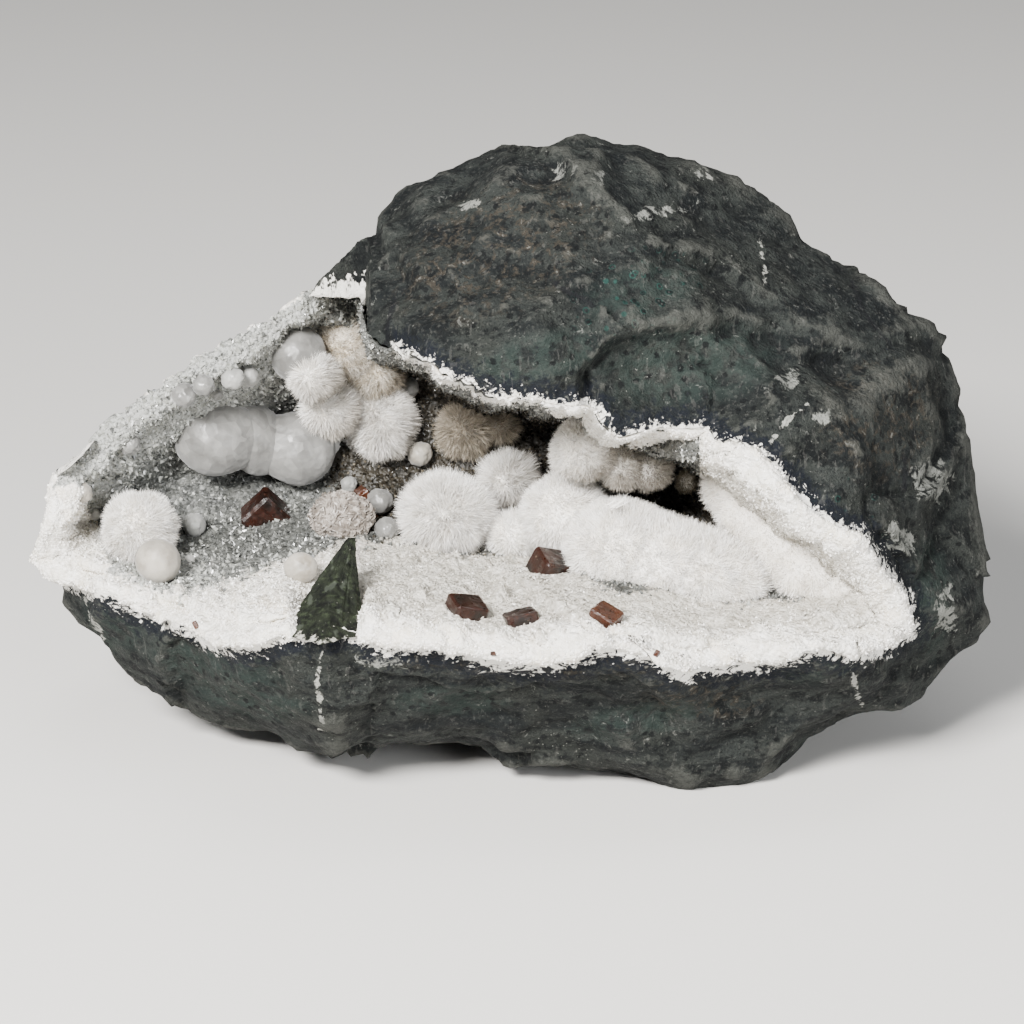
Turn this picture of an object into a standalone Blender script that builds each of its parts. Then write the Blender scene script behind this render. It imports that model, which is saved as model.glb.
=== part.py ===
"""Okenite puffball specimen: half of a basalt nodule, broken open at the front
and left, its hollow lined with drusy quartz that carries okenite puffballs,
gyrolite balls, brown crystals and a green celadonite spur.

Sizes are in millimetres and become metres when a mesh is made. +Z is up, the
specimen rests on z = 0, +X is its long axis and the open face looks to -Y.

The specimen is laid out on a front drawing (u to the right, w up, t away from
the eye), because the broken outline and the rim are what was measured. Its
pieces are then moved together, so that the origin is under the middle of it."""

import math

import bpy
import bmesh
import numpy as np
from mathutils import Euler, Vector, noise
from mathutils.bvhtree import BVHTree

MM = 0.001

# ---------------------------------------------------------------- dimensions
VIEW_TILT = math.radians(19.0)  # the front drawing looks down at the specimen
EYE = 722.0  # distance of the drawing's eye from t = 0
DRAWING_CENTRE = (0.2, 43.2)

ORIGIN = (1.215, 5.660, 0.0)  # middle of the finished piece's footprint

BODY_CENTRE = (0.0, 6.0, 56.0)
HALF_LENGTH = 90.0
HALF_UP, HALF_DOWN = 59.0, 60.0
HALF_BACK = 56.0
HALF_FRONT_LOW, HALF_FRONT_HIGH = 57.0, 45.0
SQUARENESS = 2.35
REST_LEVEL = 0.0

# Broken outline of the rock on the front drawing, round its middle.
OUTLINE_MIDDLE = (0.0, 54.0)
ROCK_OUTLINE = [
    (-90.2, 34.6), (-87.6, 44.6), (-86.7, 51.1), (-82.0, 54.0), (-77.3, 59.6),
    (-72.6, 63.4), (-66.0, 67.1), (-58.5, 72.8), (-49.1, 78.4), (-39.7, 84.0),
    (-35.0, 90.6), (-30.3, 95.9), (-26.7, 97.0), (-26.1, 100.6), (-20.9, 104.7),
    (-15.2, 107.5), (-8.6, 111.3), (-2.1, 113.6), (6.4, 114.9), (16.7, 115.2),
    (26.1, 114.5), (35.5, 111.3), (43.1, 107.5), (52.5, 101.9), (60.0, 96.3),
    (67.5, 89.7), (74.1, 83.1), (80.7, 75.6), (85.4, 67.1), (88.2, 60.5),
    (89.7, 56.8), (89.1, 49.3), (89.5, 34.2), (90.4, 27.6), (91.0, 22.7),
    (88.2, 19.2), (82.3, 11.7), (79.7, 7.1), (74.4, 3.6), (67.3, 2.4),
    (58.5, -0.8), (52.6, -5.3), (43.8, -8.5), (33.7, -9.8), (24.3, -7.5),
    (17.5, -5.6), (7.5, -4.1), (-6.2, -1.1), (-13.2, -2.4), (-27.8, -2.8),
    (-31.6, -4.5), (-35.2, -6.0), (-41.4, -4.3), (-48.9, -0.8), (-60.0, 4.1),
    (-65.6, 7.3), (-72.4, 12.6), (-76.7, 18.4), (-82.5, 21.2), (-86.3, 25.0),
    (-86.7, 28.2),
]

# Rim of the hollow on the front drawing, where the white crust meets the rock.
RIM_MIDDLE = (-20.9, 41.7)
RIM_OUTLINE = [
    (-89.5, 34.2), (-85.7, 31.4), (-79.5, 29.1), (-75.0, 28.2), (-70.5, 25.9),
    (-65.4, 23.7), (-60.3, 21.8), (-56.2, 18.6), (-47.6, 18.6), (-43.1, 20.5),
    (-37.6, 20.9), (-32.1, 21.4), (-28.6, 20.5), (-23.9, 18.6), (-17.5, 18.2),
    (-10.9, 18.2), (-4.5, 15.6), (0.8, 15.6), (5.8, 15.0), (11.1, 16.2),
    (15.4, 18.2), (21.8, 17.7), (26.1, 16.2), (32.7, 13.2), (38.9, 15.0),
    (43.8, 15.1), (48.7, 15.6), (53.6, 17.3), (58.1, 18.2), (63.7, 17.3),
    (68.4, 16.9), (71.3, 19.2), (74.4, 21.2), (73.5, 27.3), (70.3, 30.8),
    (68.1, 34.0), (65.2, 38.2), (59.8, 39.9), (55.6, 43.6), (51.5, 47.8),
    (47.9, 51.7), (45.7, 54.1), (42.5, 55.8), (39.3, 55.5), (36.1, 59.0),
    (33.3, 58.7), (26.9, 59.0), (20.3, 57.2), (17.5, 59.4), (14.9, 63.2),
    (8.8, 63.5), (1.5, 64.9), (-4.7, 64.5), (-7.3, 67.1), (-10.7, 67.9),
    (-16.0, 71.6), (-22.4, 73.9), (-26.9, 76.7), (-28.4, 83.8), (-38.4, 83.5),
    (-39.7, 82.5), (-49.1, 76.9), (-58.5, 71.3), (-66.0, 65.8), (-72.4, 62.0),
    (-76.7, 58.5), (-81.2, 53.0), (-85.2, 50.0), (-86.3, 44.4), (-88.4, 38.0),
]
ROOF_FROM_DEG, ROOF_TO_DEG = 11.0, 100.0  # the part of the rim under the roof
FLOOR_TO_DEG = -10.0  # the rim's lower part ends here, at the right
BACK_TO_DEG = 172.0  # from the roof's left end to here the rim is at the back

CEILING_DEPTH = -6.0  # t to which the roof runs straight back
DEEPEST = 5.0  # t of the back wall behind the rim's middle
BACK_WALL = 12.0  # the least rock behind the back wall, away from the rim
FLOOR_GAIN, SIDE_GAIN, ROOF_GAIN = 3.0, 5.0, 9.0  # depth for each mm from the rim
CRUST = 2.9  # thickness of the quartz lining
JOINT = 0.3  # clear gap between neighbouring pieces
SLACK = 0.36  # how far a cut stands off the piece that it makes room for

SEGMENTS, RINGS = 48, 7  # of the hollow's mesh

SIN, COS = math.sin(VIEW_TILT), math.cos(VIEW_TILT)


# ------------------------------------------------------- drawing to the world
def world(u, w, t):
    """Points on the front drawing at depth t, as X, Y, Z."""
    grow = (EYE + t) / EYE
    x = DRAWING_CENTRE[0] + (u - DRAWING_CENTRE[0]) * grow
    up = DRAWING_CENTRE[1] + (w - DRAWING_CENTRE[1]) * grow
    return np.stack([x, up * SIN + t * COS, up * COS - t * SIN], -1)


def drawing(p):
    """The other way round: X, Y, Z to u, w and t."""
    t = p[..., 1] * COS - p[..., 2] * SIN
    up = p[..., 1] * SIN + p[..., 2] * COS
    grow = (EYE + t) / EYE
    return (
        DRAWING_CENTRE[0] + (p[..., 0] - DRAWING_CENTRE[0]) / grow,
        DRAWING_CENTRE[1] + (up - DRAWING_CENTRE[1]) / grow,
        t,
    )


def step(low, high, x):
    s = np.clip((x - low) / (high - low), 0.0, 1.0)
    return s * s * (3.0 - 2.0 * s)


def polar(points, middle):
    """A star-shaped outline as angles and radii, sampled along its edges."""
    pts = np.array(points + points[:1], float)
    along = np.linspace(0.0, 1.0, 24, endpoint=False)[:, None]
    pts = np.concatenate(
        [pts[i] + (pts[i + 1] - pts[i]) * along for i in range(len(pts) - 1)]
    )
    rel = pts - np.array(middle)
    angle = np.arctan2(rel[:, 1], rel[:, 0])
    order = np.argsort(angle)
    return angle[order], np.hypot(rel[:, 0], rel[:, 1])[order]


def radius_at(table, angle):
    return np.interp(angle, table[0], table[1], period=2.0 * math.pi)


def lumps(p, size, seed, octaves=2):
    """Smooth noise between about -1 and 1 at each point."""
    shift = Vector((seed * 7.31, seed * 3.17, seed * 5.73))
    out = np.empty(len(p))
    for i, q in enumerate(p):
        v = Vector(q) / size + shift
        total, weight = 0.0, 1.0
        for _ in range(octaves):
            total += noise.noise(v) * weight
            v = v * 2.03
            weight *= 0.5
        out[i] = total
    return out * 1.4


# --------------------------------------------------------------- rock surface
# Flat breaks of the outer skin: direction and share of the skin's own reach.
BREAKS = [
    ((0.80, -0.58, -0.12), 0.93),
    ((0.97, 0.10, -0.20), 0.96),
    ((0.45, -0.45, 0.77), 0.95),
    ((-0.10, -0.62, 0.78), 0.94),
    ((-0.30, 0.55, 0.78), 0.94),
    ((0.55, 0.60, 0.58), 0.93),
    ((-0.75, 0.60, 0.10), 0.95),
    ((0.25, 0.93, -0.25), 0.94),
    ((-0.60, -0.62, -0.50), 0.95),
    ((0.20, -0.80, -0.57), 0.96),
    ((-0.45, 0.60, -0.65), 0.94),
    ((0.70, 0.25, -0.65), 0.94),
]


def reach(d):
    """How far the smooth skin is from the body's centre along d."""
    front = HALF_FRONT_LOW + (HALF_FRONT_HIGH - HALF_FRONT_LOW) * step(
        -0.30, 0.30, d[:, 2]
    )
    a = np.full(len(d), HALF_LENGTH)
    b = np.where(d[:, 1] > 0, HALF_BACK, front)
    c = np.where(d[:, 2] > 0, HALF_UP, HALF_DOWN)
    n = SQUARENESS
    total = (
        np.abs(d[:, 0] / a) ** n + np.abs(d[:, 1] / b) ** n + np.abs(d[:, 2] / c) ** n
    )
    return total ** (-1.0 / n)


def raw_skin(d):
    """The skin before it is fitted to the outline: an ellipsoid with flats."""
    r = reach(d)
    for normal, share in BREAKS:
        n = np.array(normal) / np.linalg.norm(normal)
        level = share * float(reach(n[None])[0])
        facing = d @ n
        limit = np.where(facing > 0.15, level / np.maximum(facing, 0.15), 1e9)
        close = np.clip((r - limit) / 6.0 + 0.5, 0.0, 1.0)
        r = r * (1.0 - close) + limit * close - 6.0 * 0.5 * close * (1.0 - close)
    return np.array(BODY_CENTRE) + d * r[:, None]


def even_directions(n):
    """n directions spread evenly, along a spiral."""
    k = np.arange(n) + 0.5
    z = 1.0 - 2.0 * k / n
    turn = k * math.pi * (3.0 - math.sqrt(5.0))
    flat = np.sqrt(1.0 - z * z)
    return np.stack([flat * np.cos(turn), flat * np.sin(turn), z], -1)


ROCK_POLAR = polar(ROCK_OUTLINE, OUTLINE_MIDDLE)
RIM_POLAR = polar(RIM_OUTLINE, RIM_MIDDLE)


def measured_outline():
    """The raw skin's own outline on the drawing, as angle and radius."""
    p = raw_skin(even_directions(30000))
    u, w, _ = drawing(p)
    angle = np.arctan2(w - OUTLINE_MIDDLE[1], u - OUTLINE_MIDDLE[0])
    radius = np.hypot(w - OUTLINE_MIDDLE[1], u - OUTLINE_MIDDLE[0])
    bins = 120
    slot = ((angle + math.pi) / (2 * math.pi) * bins).astype(int) % bins
    best = np.zeros(bins)
    np.maximum.at(best, slot, radius)
    best = (np.roll(best, 1) + 2 * best + np.roll(best, -1)) / 4
    return (np.arange(bins) + 0.5) / bins * 2 * math.pi - math.pi, best


RAW_OUTLINE = measured_outline()


def hollowed(u, w, middle, size, power=2.0):
    """1 in the middle of an oval on the drawing, 0 outside it."""
    d = np.abs((u - middle[0]) / size[0]) ** power
    d = d + np.abs((w - middle[1]) / size[1]) ** power
    return np.clip(1.0 - d, 0.0, 1.0)


def skin(d):
    """The rock's outer skin, fitted to its outline on the drawing."""
    p = raw_skin(d)
    p = p + d * (2.2 * lumps(p, 26.0, 1) + 0.8 * lumps(p, 9.0, 2))[:, None]
    u, w, t = drawing(p)
    du, dw = u - OUTLINE_MIDDLE[0], w - OUTLINE_MIDDLE[1]
    angle, radius = np.arctan2(dw, du), np.hypot(du, dw)
    fit = radius_at(ROCK_POLAR, angle) / radius_at(RAW_OUTLINE, angle)
    near = step(0.25, 0.75, radius / radius_at(RAW_OUTLINE, angle))
    fit = 1.0 + (fit - 1.0) * near
    u, w = OUTLINE_MIDDLE[0] + du * fit, OUTLINE_MIDDLE[1] + dw * fit
    front = step(6.0, -14.0, t)
    # the scooped hollow above the roof's edge, right of the middle
    t = t + front * 7.0 * hollowed(u, w, (32.0, 68.0), (19.0, 11.5)) ** 0.8
    # the swelling brow over the roof's edge, left of it
    t = t - front * 3.0 * hollowed(u, w, (-2.0, 76.0), (20.0, 12.0))
    # the front face below the rim stands forward
    t = t - front * 3.0 * hollowed(u, w, (4.0, 14.0), (60.0, 12.0))
    return world(u, w, t)


# ------------------------------------------------------------------ the hollow
class Depths:
    """Where lines of sight on the drawing enter and leave the rock's skin."""

    def __init__(self, ball):
        self.tree = BVHTree.FromPolygons(
            [tuple(v.co) for v in ball.verts], [[v.index for v in f.verts] for f in ball.faces]
        )

    def hit(self, u, w, back=False):
        near, far = world(np.float64(u), np.float64(w), np.array([-200.0, 200.0]))
        a, b = (far, near) if back else (near, far)
        way = (b - a) / np.linalg.norm(b - a)
        at = self.tree.ray_cast(Vector(a), Vector(way))[0]
        return None if at is None else float(drawing(np.array(at))[2])


def rim_depths(depths, count=360):
    """For angles round the rim: the depth of its front edge, and the depth at
    which the hollow's wall turns inward."""
    angles = (np.arange(count) + 0.5) / count * 2 * math.pi - math.pi
    radii = radius_at(RIM_POLAR, angles)
    edge, turn = np.empty(count), np.empty(count)
    for i, (a, r) in enumerate(zip(angles, radii)):
        u = RIM_MIDDLE[0] + r * math.cos(a)
        w = RIM_MIDDLE[1] + r * math.sin(a)
        inner = 0.985
        front = depths.hit(u, w)
        while front is None and inner > 0.8:
            u2 = RIM_MIDDLE[0] + r * inner * math.cos(a)
            w2 = RIM_MIDDLE[1] + r * inner * math.sin(a)
            front = depths.hit(u2, w2)
            inner -= 0.015
        back = depths.hit(u, w, back=True)
        back = front if back is None else back
        deg = math.degrees(a)
        if deg < -180 + 12:
            deg += 360
        middle = 0.5 * (front + back)
        if ROOF_FROM_DEG < deg < ROOF_TO_DEG:
            edge[i] = front + 0.6
            under = min(1.0, (deg - ROOF_FROM_DEG) / 9.0)
            turn[i] = front + 1.0 + (CEILING_DEPTH - front) * under
        elif ROOF_TO_DEG <= deg < BACK_TO_DEG:
            edge[i] = max(middle, back - 6.0)
            turn[i] = edge[i] + 1.0
        else:
            blend = 1.0 - min(1.0, abs(deg - BACK_TO_DEG) / 10.0) if deg > 90 else 0.0
            edge[i] = front + 0.6 + blend * (middle - front)
            turn[i] = edge[i] + 1.0
    for _ in range(2):
        turn = (np.roll(turn, 1) + 2 * turn + np.roll(turn, -1)) / 4
    calm = [turn]
    for rounds in (60, 600):
        t = turn.copy()
        for _ in range(rounds):
            t = (np.roll(t, 1) + 2 * t + np.roll(t, -1)) / 4
        calm.append(t)
    return angles, edge, calm


class Hollow:
    """Surfaces of the hollow in the drawing's polar coordinates round
    RIM_MIDDLE. share 0 is the middle of the opening and 1 its rim."""

    def __init__(self, depths):
        self.depths = depths
        self.table = rim_depths(depths)
        spots = []
        for w in np.arange(0.0, 100.0, 6.0):
            for u in np.arange(-96.0, 97.0, 6.0):
                b = depths.hit(u, w, back=True)
                spots.append(-999.0 if b is None else b)
        self.back = np.array(spots).reshape(17, 33)
        # the lower rim, as w and depth along u, sharp and then calm
        angles, _, (turn, _, _) = self.table
        deg = np.degrees(angles)
        low = (deg > -178.0) & (deg < FLOOR_TO_DEG)
        r = radius_at(RIM_POLAR, angles[low])
        u = RIM_MIDDLE[0] + r * np.cos(angles[low])
        w = RIM_MIDDLE[1] + r * np.sin(angles[low])
        order = np.argsort(u)
        grid = np.linspace(-90.0, 76.0, 84)
        self.low = [(grid, np.interp(grid, u[order], v[order])) for v in (w, turn[low])]
        wide = np.ones(9) / 9.0
        self.low_calm = [
            (grid, np.convolve(np.pad(v, 4, mode="edge"), wide, mode="valid"))
            for _, v in self.low
        ]

    def back_of(self, u, w):
        """Depth of the skin behind, from a coarse table."""
        x = np.clip((u + 96.0) / 6.0, 0, 31.999)
        y = np.clip(w / 6.0, 0, 15.999)
        i, j = y.astype(int), x.astype(int)
        fx, fy = x - j, y - i
        t = self.back
        total, weight = 0.0, 0.0
        for a, b, k in (
            (0, 0, (1 - fx) * (1 - fy)),
            (0, 1, fx * (1 - fy)),
            (1, 0, (1 - fx) * fy),
            (1, 1, fx * fy),
        ):
            v = t[i + a, j + b]
            k = np.where(v > -900, k, 0.0) + 1e-9
            total = total + np.where(v > -900, v, 0.0) * k
            weight = weight + k
        return total / weight

    def wall_depth(self, angle, share):
        """Depth of the hollow's wall in the rock."""
        rim = radius_at(RIM_POLAR, angle)
        sharp, calm, calmer = (
            np.interp(angle, self.table[0], t, period=2 * math.pi)
            for t in self.table[2]
        )
        # away from the rim the wall forgets the rim's small ups and downs
        turn = calm + (sharp - calm) * step(0.80, 1.0, share)
        turn = calmer + (turn - calmer) * step(0.25, 0.85, share)
        u = RIM_MIDDLE[0] + rim * share * np.cos(angle)
        w = RIM_MIDDLE[1] + rim * share * np.sin(angle)
        deg = np.degrees(angle)
        high = step(ROOF_FROM_DEG - 2, ROOF_FROM_DEG + 8, deg)
        high = np.maximum(high, step(-168.0, -178.0, deg))
        gain = SIDE_GAIN + (ROOF_GAIN - SIDE_GAIN) * high
        below = step(FLOOR_TO_DEG, FLOOR_TO_DEG - 8, deg) * (1.0 - high)
        sheet = turn + rim * (1.0 - share) * (gain + 40.0 * below)
        # the floor runs back from the lower rim
        edge = step(0.86, 1.0, share)
        (gu, gw), (_, gt) = self.low
        (_, cw), (_, ct) = self.low_calm
        low_w = np.interp(u, gu, cw) * (1 - edge) + np.interp(u, gu, gw) * edge
        low_t = np.interp(u, gu, ct) * (1 - edge) + np.interp(u, gu, gt) * edge
        floor = np.maximum(low_t + np.maximum(w - low_w, 0.0) * FLOOR_GAIN, -60.0)
        sheet = np.where(share > 0.999, turn, np.minimum(sheet, floor))
        back = DEEPEST + 0.22 * (w - RIM_MIDDLE[1]) - 26.0 * step(28.0, 78.0, u)
        back = np.minimum(back, self.back_of(u, w) - BACK_WALL * (1.0 - share**3) - 3.4)
        near = np.clip(0.5 + (back - sheet) / 12.0, 0.0, 1.0)
        t = back + (sheet - back) * near - 6.0 * near * (1.0 - near)
        t = np.maximum(t, turn)
        return t + 1.6 * lumps(world(u, w, t), 17.0, 5) * (1.0 - share**6)


def arc_angles(n):
    """n angles round the rim, even along its length."""
    a, r = RIM_POLAR
    a = np.append(a, a[0] + 2 * math.pi)
    r = np.append(r, r[0])
    x, y = r * np.cos(a), r * np.sin(a)
    gone = np.concatenate([[0], np.cumsum(np.hypot(np.diff(x), np.diff(y)))])
    return np.interp(np.arange(n) / n * gone[-1], gone, a)


# --------------------------------------------------------------------- meshes
def new_object(name, bm, group, kind=None):
    mesh = bpy.data.meshes.new(name)
    bmesh.ops.recalc_face_normals(bm, faces=bm.faces)
    bm.to_mesh(mesh)
    bm.free()
    obj = bpy.data.objects.new(name, mesh)
    group.objects.link(obj)
    if kind is not None:
        finish(obj, kind)
    return obj


class Shell:
    """One surface of the hollow: the radius of its rim for each segment and
    the depth of its wall for each ring, from the middle out to the rim."""

    share = np.sin(np.arange(RINGS + 1) / RINGS * math.pi / 2)[:, None]

    def __init__(self, angles, radii, depth):
        self.angles, self.radii, self.depth = angles, radii, depth

    def place(self, radii, depth):
        u = RIM_MIDDLE[0] + radii * np.cos(self.angles)
        w = RIM_MIDDLE[1] + radii * np.sin(self.angles)
        return world(u, w, depth)

    def ball(self, mouth=None):
        """A sphere primitive bent into the hollow: its back half becomes the
        wall, and its front half a straight throat out to the front, or the
        mouth, which closes the hollow so far ahead of the rock."""
        bm = bmesh.new()
        bmesh.ops.create_uvsphere(
            bm, u_segments=SEGMENTS, v_segments=2 * RINGS, radius=1.0
        )
        co = np.array([v.co[:] for v in bm.verts])
        turn = np.arctan2(co[:, 1], co[:, 0]) / (2 * math.pi) * SEGMENTS
        slot = np.round(turn).astype(int) % SEGMENTS
        ring = np.arccos(np.clip(co[:, 2], -1, 1)) / math.pi * 2 * RINGS
        ring = np.round(ring).astype(int)
        wall = self.place(self.radii * self.share, self.depth)
        if mouth is None:
            out = np.arange(RINGS + 1)[:, None] / RINGS
            depth = self.depth[-1] + (-95.0 - self.depth[-1]) * np.minimum(out * 2.2, 1.0)
            front = self.place(self.radii * np.where(out < 1.0, 1.0, 0.0), depth - 10 * out)
        else:
            share = self.share[::-1]
            edge = np.interp(
                self.angles, HOLLOW.table[0], HOLLOW.table[1], period=2 * math.pi
            )
            depth = -52.0 + (edge + 52.0) * share**1.6 - mouth
            front = self.place(self.radii * share, depth)
        for v, i, j in zip(bm.verts, ring, slot):
            v.co = Vector(wall[i, j] if i <= RINGS else front[i - RINGS, j]) * MM
        bmesh.ops.triangulate(bm, faces=bm.faces, quad_method="FIXED")
        return bm

    def inside(self, gap):
        """The shell that stays clear of this one by the gap. Its rim shrinks
        on the drawing, and its wall then comes forward until it is clear."""
        gap = gap / 0.93  # the front of the drawing is drawn larger
        x, y = self.radii * np.cos(self.angles), self.radii * np.sin(self.angles)
        a = np.stack([x, y], -1)
        ab = np.roll(a, -1, axis=0) - a
        radii = self.radii - gap
        for _ in range(24):
            p = np.stack([radii * np.cos(self.angles), radii * np.sin(self.angles)], -1)
            ap = p[:, None] - a[None]
            k = np.clip((ap * ab).sum(-1) / (ab * ab).sum(-1), 0.0, 1.0)
            far = np.linalg.norm(ap - ab * k[..., None], axis=-1).min(1)
            radii = radii - 0.8 * np.maximum(gap - far, 0.0)
        bm = self.ball()
        tree = BVHTree.FromBMesh(bm)
        bm.free()
        depth = self.depth.copy()
        depth[-1] -= 0.5 * gap
        for _ in range(12):
            p = self.place(radii * self.share, depth)
            for i in range(RINGS):
                for j in range(SEGMENTS if i else 1):
                    far = tree.find_nearest(Vector(p[i, j]) * MM)[3] / MM
                    depth[i, j] -= 1.05 * max(gap - far, 0.0)
            depth[0] = depth[0, 0]
        return Shell(self.angles, radii, depth)


def swell(bm, distance):
    """Moves every face outward by about distance millimetres."""
    bmesh.ops.recalc_face_normals(bm, faces=bm.faces)
    bm.normal_update()
    moves = [
        v.normal * min(v.calc_shell_factor(), 1.8) * distance * MM for v in bm.verts
    ]
    for v, move in zip(bm.verts, moves):
        v.co += move
    return bm


def boolean(obj, cutter, how="DIFFERENCE"):
    """Applies an exact Boolean and leaves a clean mesh."""
    mod = obj.modifiers.new(how, "BOOLEAN")
    mod.operation, mod.solver, mod.object = how, "EXACT", cutter
    graph = bpy.context.evaluated_depsgraph_get()
    graph.update()
    mesh = bpy.data.meshes.new_from_object(obj.evaluated_get(graph))
    materials = list(obj.data.materials)
    obj.modifiers.remove(mod)
    obj.data = mesh
    mesh.materials.clear()
    for material in materials:
        mesh.materials.append(material)
    bm = bmesh.new()
    bm.from_mesh(mesh)
    for f in bm.faces:
        f.material_index = 0
    bmesh.ops.remove_doubles(bm, verts=bm.verts, dist=2e-6)
    bmesh.ops.dissolve_degenerate(bm, edges=bm.edges, dist=1e-6)
    bm.to_mesh(mesh)
    bm.free()
    return obj


def largest_part(obj):
    """Drops crumbs that a cut leaves behind."""
    bm = bmesh.new()
    bm.from_mesh(obj.data)
    left, parts = set(bm.verts), []
    while left:
        seed = left.pop()
        part, queue = {seed}, [seed]
        while queue:
            for e in queue.pop().link_edges:
                for v in e.verts:
                    if v not in part:
                        part.add(v)
                        queue.append(v)
        left -= part
        parts.append(part)
    keep = max(parts, key=len)
    bmesh.ops.delete(bm, geom=[v for v in bm.verts if v not in keep], context="VERTS")
    bm.to_mesh(obj.data)
    bm.free()
    return obj


# colour and roughness of each kind of surface
FINISH = {
    "basalt": ((0.045, 0.050, 0.047), 0.85),
    "quartz": ((0.66, 0.65, 0.62), 0.35),
    "celadonite": ((0.075, 0.095, 0.055), 0.7),
    "okenite": ((0.84, 0.82, 0.78), 0.9),
    "cream": ((0.80, 0.76, 0.66), 0.9),
    "gyrolite": ((0.50, 0.50, 0.48), 0.4),
    "rosette": ((0.48, 0.38, 0.32), 0.5),
    "brown": ((0.11, 0.035, 0.018), 0.25),
    "amber": ((0.22, 0.075, 0.025), 0.3),
}


def finish(obj, kind):
    """Gives the piece a material of its own."""
    colour, roughness = FINISH[kind]
    mat = bpy.data.materials.new(obj.name)
    mat.use_nodes = True
    shader = mat.node_tree.nodes["Principled BSDF"]
    shader.inputs["Base Color"].default_value = (*colour, 1.0)
    shader.inputs["Roughness"].default_value = roughness
    shader.inputs["Metallic"].default_value = 0.0
    mat.diffuse_color = (*colour, 1.0)
    obj.data.materials.clear()
    obj.data.materials.append(mat)
    return obj


# ---------------------------------------------------------------------- scene
for old in list(bpy.data.objects):
    bpy.data.objects.remove(old, do_unlink=True)

PARTS = bpy.data.collections.new("okenite_puffball")
CUTTERS = bpy.data.collections.new("cutters")
bpy.context.scene.collection.children.link(PARTS)
bpy.context.scene.collection.children.link(CUTTERS)
CUTTERS.hide_render = True


def cutter(name, bm):
    obj = new_object(name, bm, CUTTERS)
    obj.hide_render = True
    obj.display_type = "WIRE"
    return obj


def box_cutter(name, corner_function, cuts=0):
    """A cube primitive, divided and bent by a function of -1..1 coordinates."""
    bm = bmesh.new()
    bmesh.ops.create_cube(bm, size=2.0)
    if cuts:
        bmesh.ops.subdivide_edges(bm, edges=bm.edges, cuts=cuts, use_grid_fill=True)
    co = np.array([v.co[:] for v in bm.verts])
    for v, p in zip(bm.verts, corner_function(co)):
        v.co = Vector(p) * MM
    return cutter(name, bm)


# the outer skin, and the sight lines through it
ball = bmesh.new()
bmesh.ops.create_icosphere(ball, subdivisions=5, radius=1.0)
directions = np.array([v.co.normalized()[:] for v in ball.verts])
for v, p in zip(ball.verts, skin(directions)):
    v.co = Vector(p)
HOLLOW = Hollow(Depths(ball))
for v in ball.verts:
    v.co *= MM
rock = new_object("basalt_matrix", ball, PARTS, "basalt")

slim = rock.modifiers.new("slim", "DECIMATE")
slim.ratio = 0.115
graph = bpy.context.evaluated_depsgraph_get()
slimmed = bpy.data.meshes.new_from_object(rock.evaluated_get(graph))
rock.modifiers.clear()
rock.data = slimmed

# the hollow itself, out through the front
angles = arc_angles(SEGMENTS)
angles = (angles + math.pi) % (2 * math.pi) - math.pi
grid = np.broadcast_to(angles, (RINGS + 1, SEGMENTS)).ravel()
depth = HOLLOW.wall_depth(grid, np.broadcast_to(Shell.share, (RINGS + 1, SEGMENTS)).ravel())
depth = depth.reshape(RINGS + 1, SEGMENTS)
depth[0] = depth[0, 0]
IN_ROCK = Shell(angles, radius_at(RIM_POLAR, angles), depth)
CRUST_BACK = IN_ROCK.inside(JOINT)
CRUST_FRONT = CRUST_BACK.inside(CRUST)
ROOM = CRUST_FRONT.inside(JOINT)

hollow_cut = cutter("hollow_cut", IN_ROCK.ball())
boolean(rock, hollow_cut)


# the roof's left end breaks off square, and the back wall stands behind it
def left_break(c):
    u = np.where(c[:, 0] > 0, -26.9, -120.0)
    w = 100.0 + 40.0 * c[:, 2]
    w = np.where(c[:, 2] < 0, np.where(c[:, 0] > 0, 76.0, 40.0), w)
    t = np.where(c[:, 1] > 0, np.where(c[:, 0] > 0, 17.0, -2.0), -150.0)
    return world(u, w, t)


boolean(rock, box_cutter("left_break", left_break))


# the undercut below the front rim
def undercut(c, middle, size):
    n = c / np.linalg.norm(c, axis=1)[:, None]
    p = n * np.array(size) * (1.0 + 0.16 * lumps(n * 30.0, 24.0, 9))[:, None]
    return np.array(middle) + p


bm = bmesh.new()
bmesh.ops.create_icosphere(bm, subdivisions=3, radius=1.0)
co = np.array([v.co[:] for v in bm.verts])
for v, p in zip(bm.verts, undercut(co, (-5.0, -56.0, 7.5), (33.0, 26.0, 11.5))):
    v.co = Vector(p) * MM
boolean(rock, cutter("undercut", bm))


# the flat patch that it rests on
def below(c):
    return c * np.array([150.0, 150.0, 25.0]) + np.array([0.0, 0.0, REST_LEVEL - 25.0])


boolean(rock, box_cutter("rest_cut", below))
largest_part(rock)

# the quartz crust
lining = new_object("quartz_lining", CRUST_BACK.ball(mouth=0.8), PARTS, "quartz")
boolean(lining, cutter("inner_cut", CRUST_FRONT.ball()))
largest_part(lining)


# ------------------------------------------------------- pieces in the hollow
# The free room inside the crust: what stands on the crust is trimmed to it.
room = cutter("room", ROOM.ball())
ROOM_TREE = BVHTree.FromPolygons(
    [tuple(v.co / MM) for v in room.data.vertices],
    [tuple(f.vertices) for f in room.data.polygons],
)


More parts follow.
